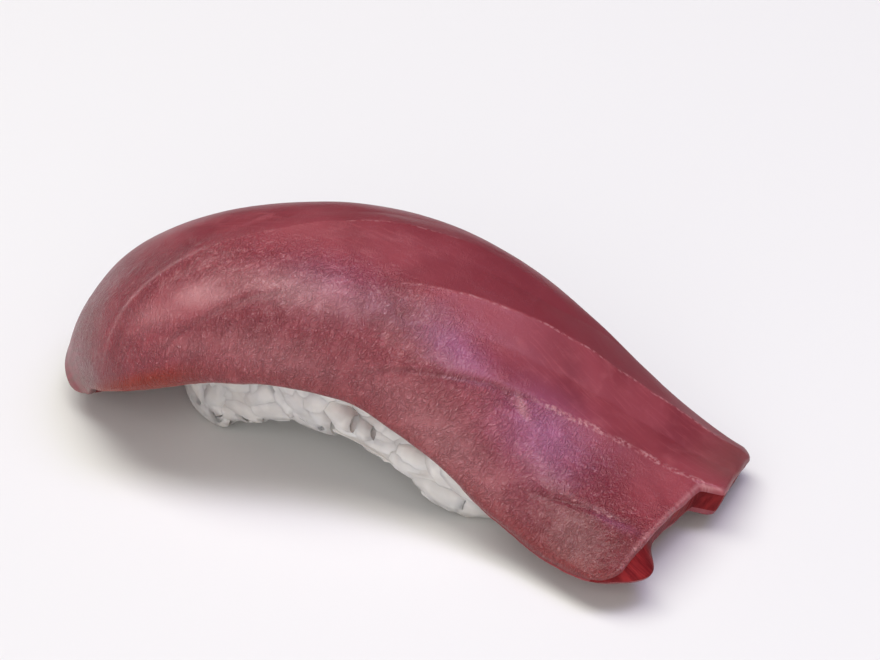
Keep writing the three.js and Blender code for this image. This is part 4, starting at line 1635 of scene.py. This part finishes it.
    def bed(self, x: Array, y: Array) -> tuple[Array, Array, Array]:
        """The slice's underside over a point, less the clearance.

        The flat place over the point starts as the nearest of a coarse grid and is then refined by
        Newton steps on its plan position.

        Args:
            x: the point's place along the block, in mm.
            y: its place across.

        Returns:
            The underside's height, its upward normal, and whether the slice covers the point.
        """
        aim = np.stack([x.ravel(), y.ravel()], axis=-1)
        grid = (np.linspace(*self.bed_along), np.linspace(*self.bed_across))
        grid_s, grid_w = np.meshgrid(*grid, indexing="ij")

        def underside(s: Array, w: Array) -> Array:
            """A point of the bed."""
            return self.drape.place(s, w, -self.drape.depth(s, w) - self.bed_gap)

        seeds = underside(grid_s, grid_w).reshape(-1, 3)[:, :2]
        parts = np.array_split(aim, 1 + len(aim) // 2000)
        nearest = [((part[:, None] - seeds) ** 2).sum(-1).argmin(axis=1) for part in parts]
        s, w = (places.ravel()[np.concatenate(nearest)] for places in (grid_s, grid_w))
        step, least, most = 0.05, 0.05, 2.0  # mm along the slice, the least area, the most that is moved
        for _ in range(self.bed_refinings):
            here = underside(s, w)
            by_s = (underside(s + step, w) - here) / step
            by_w = (underside(s, w + step) - here) / step
            miss = aim - here[:, :2]
            area = by_s[:, 0] * by_w[:, 1] - by_w[:, 0] * by_s[:, 1]
            area = np.where(np.abs(area) < least, least, area)
            s = s + np.clip((miss[:, 0] * by_w[:, 1] - miss[:, 1] * by_w[:, 0]) / area, -most, most)
            w = w + np.clip((by_s[:, 0] * miss[:, 1] - by_s[:, 1] * miss[:, 0]) / area, -most, most)
            s, w = (np.clip(place, *limits) for place, limits in zip((s, w), self.bed_limits))
        here = underside(s, w)
        normal = unit(np.cross(underside(s + step, w) - here, underside(s, w + step) - here))
        covered = np.abs(w) < self.drape.width(w, self.drape.share(s))
        return here[:, 2].reshape(x.shape), normal.reshape(*x.shape, 3), covered.reshape(x.shape)

    def build_core(self) -> Thing:
        """The closed core: up the side to the bed, then in over the bed to its middle.

        Where the side meets the bed is found by halving the stretch of levels that holds it.

        Returns:
            The core's object.
        """
        sides, middle = self.core_sides, np.array(self.centre)
        turns = self.turn_at((np.arange(sides) + 0.5) / sides)
        low, high = np.full(sides, 1.0), np.full(sides, self.top - 0.5)
        for _ in range(self.core_halvings):
            level = (low + high) / 2
            x, y, z = self.side(turns, level).T
            over = z > self.bed(x, y)[0]
            low, high = np.where(over, low, level), np.where(over, level, high)
        shares = np.linspace(0.0, 1.0, self.core_levels)[:, None] ** self.core_crowding
        wall = self.side(turns, shares * (low + high) / 2)
        foot = self.side(turns, np.zeros((1, sides)), np.array(self.core_foot)[:, None])
        cap = middle + np.array(self.core_cap)[:, None, None] * (wall[-1, :, :2] - middle)
        cap = np.concatenate([cap, self.bed(cap[..., 0], cap[..., 1])[0][..., None]], axis=-1)
        rings = np.concatenate([foot, wall, cap])
        x, y, z = np.moveaxis(rings, -1, 0)
        seed, height = self.core_relief
        by_x, by_y, by_z, by_y_too = self.core_waves
        relief = self.core_swell + height * Noise(seed)(x / by_x + y / by_y, z / by_z + y / by_y_too)
        inner = slice(len(foot) + 2, len(foot) + len(wall) - 2)
        away = rings[inner, :, :2] - middle
        rings[inner, :, :2] += relief[inner][..., None] * unit(away)
        x, y = middle[:1], middle[1:]
        tips = [[*middle, self.arch_lift(x, 0.0 * x)[0]], [*middle, self.bed(x, y)[0][0]]]
        points = np.concatenate([rings.reshape(-1, 3), tips])
        core = make_mesh("rice_core", points, list(tube_faces(len(rings), sides)))
        set_attribute(core, "shade", np.full(len(points), self.core_shade))
        return core

    def lay(
        self, middles: Array, outward: Array, draws: Array, most_turn: Array | float
    ) -> tuple[Array, Array, Array]:
        """Where grains lie: their middles, their frames, and their sizes.

        Args:
            middles: the grains' middles, in mm.
            outward: the face's way out at each.
            draws: three draws a grain, for its turn, its nosing in or out, and its size.
            most_turn: how far each may turn from level, in degrees.

        Returns:
            The middles, frames whose rows are the grain's long way, side and top, and sizes.
        """
        level = np.stack([-outward[:, 1], outward[:, 0], np.zeros(len(outward))], axis=-1)
        level[(level * level).sum(-1) < 1e-6] = (1.0, 0.0, 0.0)
        level = unit(level)
        turn = np.radians(most_turn * draws[:, 0])[:, None]
        level = level * np.cos(turn) + np.cross(outward, level) * np.sin(turn)
        nosed = unit(level + outward * np.tan(np.radians(self.most_tilt) * draws[:, 1:2]))
        side = unit(np.cross(outward, nosed))
        frames = np.stack([nosed, side, np.cross(nosed, side)], axis=1)
        return middles, frames, 1.0 + self.size_spread * draws[:, 2]

    def side_grains(self, draws: Draws, sink: float, ahead_by: float) -> tuple[Array, Array, Array]:
        """Grains in level rows round the side, every other row half a step on.

        Args:
            draws: where the random numbers come from.
            sink: how far the grains' middles lie under the face, in mm.
            ahead_by: how far the rows are moved on, as a share of a step.

        Returns:
            The grains' middles, frames and sizes.
        """
        row, k = np.meshgrid(np.arange(self.row_count), np.arange(self.grains_a_row), indexing="ij")
        row, k = row.ravel(), k.ravel()
        drawn = draws.take(5 * len(row)).reshape(-1, 5)
        step = k + ahead_by + 0.5 * (row % 2) + self.turn_spread * drawn[:, 0]
        turn = self.turn_at(step / self.grains_a_row)
        level = self.first_row + row * self.row_height + self.level_spread * drawn[:, 1]
        middle = self.side(turn, level)
        ahead = self.side(turn + 0.02, level) - middle
        above = self.side(turn, level + 0.2) - middle
        outward = unit(np.cross(ahead, above))
        most_turn = np.where(row == 0, self.most_low_turn, self.most_turn)
        return self.lay(middle - sink * outward, outward, drawn[:, 2:], most_turn)

    def under_grains(self, draws: Draws) -> tuple[Array, Array, Array]:
        """Grains under the arch, in staggered rows across the block.

        Args:
            draws: where the random numbers come from.

        Returns:
            The grains' middles, frames and sizes.
        """
        (reach_x, reach_y), step = self.under_reach, self.under_step
        places = []
        for row in range(int(2 * reach_x / step) + 1):
            across = np.arange(-reach_y + (row % 2) * step / 2, reach_y + SMALL, step)
            places.append(np.stack([np.full(len(across), -reach_x + row * step), across], axis=-1))
        place = np.concatenate(places)
        drawn = draws.take(5 * len(place)).reshape(-1, 5)
        x, y = (np.array(self.centre) + place + self.under_spread * drawn[:, :2]).T
        middle = np.stack([x, y, self.arch_lift(x, np.zeros(len(x))) + self.sink], axis=-1)
        down = np.tile([0.0, 0.0, -1.0], (len(x), 1))
        return self.lay(middle, down, drawn[:, 2:], self.most_turn)

    def grain_form(self, count: int) -> Array:
        """Plump grains along +X: blunt superellipsoids, each bent and dented a little in its own way.

        Args:
            count: how many grains.

        Returns:
            count by (2 + rings * sides) by 3: the two tips come last.
        """
        rng = np.random.default_rng(self.seed)
        bend, pinch, crook = rng.uniform(-1.0, 1.0, (3, count, 1, 1))
        share = np.sin(np.linspace(-0.5, 0.5, self.grain_rings + 2)[1:-1] * np.pi)[None, :, None]
        turn = (2.0 * np.pi * np.arange(self.grain_sides) / self.grain_sides)[None, None, :]
        girth = (1.0 - np.abs(share) ** self.bluntness) ** (1.0 / self.bluntness)
        girth = girth * (1.0 + self.pinch * pinch * share)
        girth = girth * (1.0 + self.ripple * np.cos(2.0 * turn + 3.0 * bend) * crook)
        half, (aside, up) = np.array(self.grain_size) / 2.0, self.bends
        bow = share * share - self.bend_mean
        x = half[0] * share + 0.0 * turn + 0.0 * bend
        y = half[1] * girth * np.cos(turn) + aside * bend * bow
        z = half[2] * girth * np.sin(turn) + up * crook * bow
        body = np.stack([x, y, z], axis=-1).reshape(count, -1, 3)
        lift = (1.0 - self.bend_mean) * np.concatenate([aside * bend, up * crook], axis=-1)[:, 0]
        tips = [np.concatenate([np.full((count, 1), end * half[0]), lift], axis=-1) for end in (-1.0, 1.0)]
        return np.concatenate([body, np.stack(tips, axis=1)], axis=1)

    def grain_faces(self) -> tuple[Array, Array]:
        """One grain's quads between its rings and the triangles at its tips.

        Known fault: the quads are turned round here, so they face inwards and only the tips face
        outwards. tube_faces gives both facing outwards, and its quads are right as they come.
        """
        quads, tips = tube_faces(self.grain_rings, self.grain_sides)
        return quads[:, ::-1], tips

    def mould(self, points: Array) -> Array:
        """Presses grains back towards the block's plain side and underside, as a hand does.

        A point's distance outside the side is the superellipse's excess over 1 by its slope.

        Args:
            points: the grains' points, in mm.

        Returns:
            The points, moved.
        """
        first, last = self.proud

        def pressed(beyond: Array) -> Array:
            """How far out a point ends that was this far out: bent over to the most by tanh."""
            return first + (last - first) * np.tanh(np.maximum(beyond - first, 0.0) / (last - first))

        rise, span, fades_at = self.arch
        x, y, z = (points[..., axis] for axis in range(3))
        off_x, off_y = x - self.centre[0], y - self.centre[1]
        lift = rise * (1.0 - np.clip(2.0 * off_x / span, -1.0, 1.0) ** 2)
        level = np.where(z < fades_at, (z - lift) / (1.0 - lift / fades_at), z)
        level = np.maximum(level, 0.0)
        half_x, half_y = self.length / 2 - self.inset(level, 0), self.width / 2 - self.inset(level, 1)
        power = self.squareness
        size = ((np.abs(off_x) / half_x) ** power + (np.abs(off_y) / half_y) ** power) ** (1.0 / power)
        size = np.maximum(size, 0.2)
        slope_x, slope_y = (
            np.sign(off) * np.abs(off) ** (power - 1.0) / half**power * size ** (1.0 - power)
            for off, half in ((off_x, half_x), (off_y, half_y))
        )
        slope = np.maximum(np.hypot(slope_x, slope_y), 1e-3)
        outside = (size - 1.0) / slope
        back = np.where(outside > first, outside - pressed(outside), 0.0) / slope
        below = lift - z
        new_z = np.where(below > first, lift - pressed(below), z)
        return np.stack([x - back * slope_x, y - back * slope_y, new_z], axis=-1)

    def press(self, points: Array) -> Array:
        """Presses grains under the slice and onto the floor: what would pass either is laid against it.

        Args:
            points: the grains' points, in mm.

        Returns:
            The points, moved.
        """
        height, normal, covered = self.bed(points[..., 0], points[..., 1])
        over = np.where(covered, np.clip((points[..., 2] - height) * normal[..., 2], 0.0, None), 0.0)
        pressed = points - over[..., None] * normal
        pressed[..., 2] = np.maximum(pressed[..., 2], 0.0)
        return pressed

    def build_grains(self) -> Thing:
        """All the grains as one mesh: laid, dropped where the slice hides them, and pressed to shape.

        Returns:
            The grains' object.
        """
        draws = Draws(self.seed)
        groups = (
            self.side_grains(draws, self.sink, 0.0),
            self.under_grains(draws),
            self.side_grains(draws, self.filler_sink, 0.5),
        )
        middles, frames, sizes = (np.concatenate(parts) for parts in zip(*groups))
        height, normal, _ = self.bed(middles[:, 0], middles[:, 1])
        over = (middles[:, 2] - height) * normal[:, 2] + 0.4 * self.grain_size[2]
        kept = over < self.bed_reach
        middles = middles - np.clip(over, 0.0, None)[:, None] * normal
        middles, frames, sizes = middles[kept], frames[kept], sizes[kept]
        form = self.grain_form(len(middles)) * sizes[:, None, None]
        points = middles[:, None] + np.einsum("gpi,gij->gpj", form, frames)
        points = self.press(self.mould(points))
        quads, tips = self.grain_faces()
        each = points.shape[1]
        first = (each * np.arange(len(points)))[:, None, None]
        faces = [(first + quads).reshape(-1, 4), (first + tips).reshape(-1, 3)]
        grains = make_mesh("rice_grains", points.reshape(-1, 3), faces)
        shade = np.random.default_rng(self.seed + 1).uniform(0.0, 1.0, len(points))
        set_attribute(grains, "shade", np.repeat(shade, each))
        return grains

    def dress(self, thing: Thing, finish: RiceFinish) -> Thing:
        """Gives core or grains their finish and their place in the frame.

        Args:
            thing: the core or the grains.
            finish: its finish.

        Returns:
            The same object.
        """
        thing.data.materials.append(finish.material())
        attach(thing, "root")
        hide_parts("rice_block")
        return thing


# ---- The studio -----------------------------------------------------------------------------


def compass(azimuth: float, elevation: float) -> tuple[Vector, Vector]:
    """The way out to a place round the piece, from degrees, and the level way to its right.

    Args:
        azimuth: degrees round from the front, to the right.
        elevation: degrees up.

    Returns:
        The two directions.
    """
    a, e = math.radians(azimuth), math.radians(elevation)
    out = Vector((math.sin(a) * math.cos(e), -math.cos(a) * math.cos(e), math.sin(e)))
    return out, Vector((math.cos(a), math.sin(a), 0.0))


def stand(name: str, data: bpy.types.ID, place: Vector, axes: tuple[Vector, Vector, Vector]) -> Thing:
    """Puts a lamp or the camera at a place, turned by its side, up and back axes.

    Args:
        name: the object's name.
        data: the lamp or the camera.
        place: where it stands, in metres.
        axes: its side, up and back.

    Returns:
        The new object.
    """
    thing = bpy.data.objects.new(name, data)
    bpy.context.scene.collection.objects.link(thing)
    thing.matrix_world = Matrix.Translation(place) @ Matrix(axes).transposed().to_4x4()
    return thing


@dataclass(frozen=True)
class Lamp:
    """One soft panel light, aimed at the piece."""

    name: str
    azimuth: float  # degrees round from the front, to the right
    elevation: float
    size: Numbers  # metres
    colour: Colour
    radiance: float
    distance: float = 0.8

    def build(self, aim: Vector) -> None:
        """Hangs the panel, square to the way to its aim. Its power is radiance * pi * area.

        Args:
            aim: the place that the panel faces.
        """
        back, side = compass(self.azimuth, self.elevation)
        if abs(self.elevation) >= 45:  # a panel overhead is squared to the piece's length
            side = Vector((1.0, 0.0, 0.0))
        data = bpy.data.lights.new(self.name, "AREA")
        data.shape = "RECTANGLE"
        data.size, data.size_y = self.size
        data.color = self.colour
        data.energy = self.radiance * math.pi * self.size[0] * self.size[1]
        up = back.cross(side).normalized()
        stand(self.name, data, aim + back * self.distance, (up.cross(back), up, back))


@dataclass(frozen=True)
class Studio:
    """A pale floor, soft panels overhead, and a long lens from the front right."""

    azimuth: float = 33.7
    elevation: float = 33.1
    roll: float = -0.7
    distance: float = 0.3295
    lens: float = 130.4
    sensor: float = 36.0
    clip: Numbers = (0.01, 20.0)
    target: Numbers = (0.00414, 0.00216, 0.012)
    aim_off: Numbers = (0.0020, 0.00287)  # the lens looks this far right of and above the target
    lamps: tuple[Lamp, ...] = (
        Lamp("overhead_panel", -90.0, 78.0, (1.0, 0.42), (1.0, 0.98, 0.92), 4.5),
        Lamp("violet_panel", 117.0, 66.0, (0.38, 0.30), (0.62, 0.54, 1.0), 4.2),
        Lamp("front_fill", 18.0, 24.0, (1.6, 1.2), (1.0, 0.97, 0.92), 1.2, 1.2),
    )
    world_front: float = 0.5
    world_back: float = 0.03
    world_seen: float = 0.75
    world_turns: Numbers = (0.45, -0.6)  # how far behind it is darkest, and how far in front palest
    floor_radii: Numbers = (50.0, 150.0, 400.0, 900.0, 1600.0, 2400.0)
    floor_sides: int = 48
    floor_rise: Numbers = (600.0, 1500.0, 2600.0)  # height, radii from and to

    def build_camera(self) -> None:
        """Stands the camera at its azimuth and elevation, turned by its roll."""
        back, level = compass(self.azimuth, self.elevation)
        roll = math.radians(self.roll)
        right = level * math.cos(roll) + back.cross(level) * math.sin(roll)
        up = back.cross(right)
        place = Vector(self.target) + back * self.distance
        aim = Vector(self.target) + right * self.aim_off[0] + up * self.aim_off[1]
        back = (place - aim).normalized()
        right = up.cross(back).normalized()
        data = bpy.data.cameras.new("camera")
        data.lens = self.lens
        data.sensor_width = self.sensor
        data.clip_start, data.clip_end = self.clip
        bpy.context.scene.camera = stand("camera", data, place, (right, back.cross(right), back))

    def build_world(self) -> None:
        """Dim all round, darker behind the piece than in front, and pale where it is looked at directly."""
        world = bpy.data.worlds.new("studio")
        bpy.context.scene.world = world
        n = Nodes(world, "Background")
        a = math.radians(self.azimuth)
        inputs = {0: n.add("TexCoord").outputs["Generated"], 1: (-math.sin(a), math.cos(a), 0.0)}
        behind = n.add("VectorMath", inputs, operation="DOT_PRODUCT").outputs["Value"]
        most, least = self.world_turns
        ends = {"From Min": most, "From Max": least, "To Min": self.world_back, "To Max": self.world_front}
        shade = n.add("MapRange", {"Value": behind, **ends}).outputs[0]
        seen = n.add("LightPath").outputs["Is Camera Ray"]
        pale = n.add("Mix", {"Factor": seen, "A": shade, "B": self.world_seen}).outputs[0]
        n.finish(Color=(1.0, 1.0, 1.0), Strength=pale)

    def build_floor(self) -> None:
        """A wide pale disc under the piece, gently dished at its far edge."""
        rise, start, end = self.floor_rise
        radii, sides = np.array(self.floor_radii)[:, None], self.floor_sides
        turns = 2.0 * np.pi * np.arange(sides) / sides
        lift = rise * smoothstep(radii, start, end) ** 2
        rings = np.stack([radii * np.cos(turns), radii * np.sin(turns), lift + 0.0 * turns], axis=-1)
        points = np.concatenate([rings.reshape(-1, 3), [[0.0, 0.0, 0.0]]])
        quads, tips = tube_faces(len(radii), sides)
        floor = make_mesh("pale_floor", points, [quads[:, ::-1], tips[:sides, ::-1]])
        floor.data.materials.append(TableFinish().material())

    def build(self) -> None:
        """Everything round the piece."""
        self.build_camera()
        self.build_world()
        self.build_floor()
        for lamp in self.lamps:
            lamp.build(Vector(self.target))
        bpy.context.scene.view_settings.view_transform = "Standard"


# ---- The piece ------------------------------------------------------------------------------


def corners(box: tuple[Vector, Vector]) -> list[list[float]]:
    """A box's two corners as plain lists."""
    return [list(corner) for corner in box]


def main() -> None:
    """Loads the frame, builds the studio, the slice and the rice."""
    logging.basicConfig(level=logging.INFO, format="%(name)s: %(message)s")
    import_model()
    Studio().build()

    tuna = TunaSlice()
    slab = tuna.dress(tuna.build())
    log.info("%s: %d faces", slab.name, len(slab.data.polygons))

    rice = RiceBlock()
    for thing, finish in ((rice.build_core(), rice.core_finish), (rice.build_grains(), rice.grain_finish)):
        rice.dress(thing, finish)
        log.info("%s: %d faces", thing.name, len(thing.data.polygons))


if __name__ == "__main__":
    main()
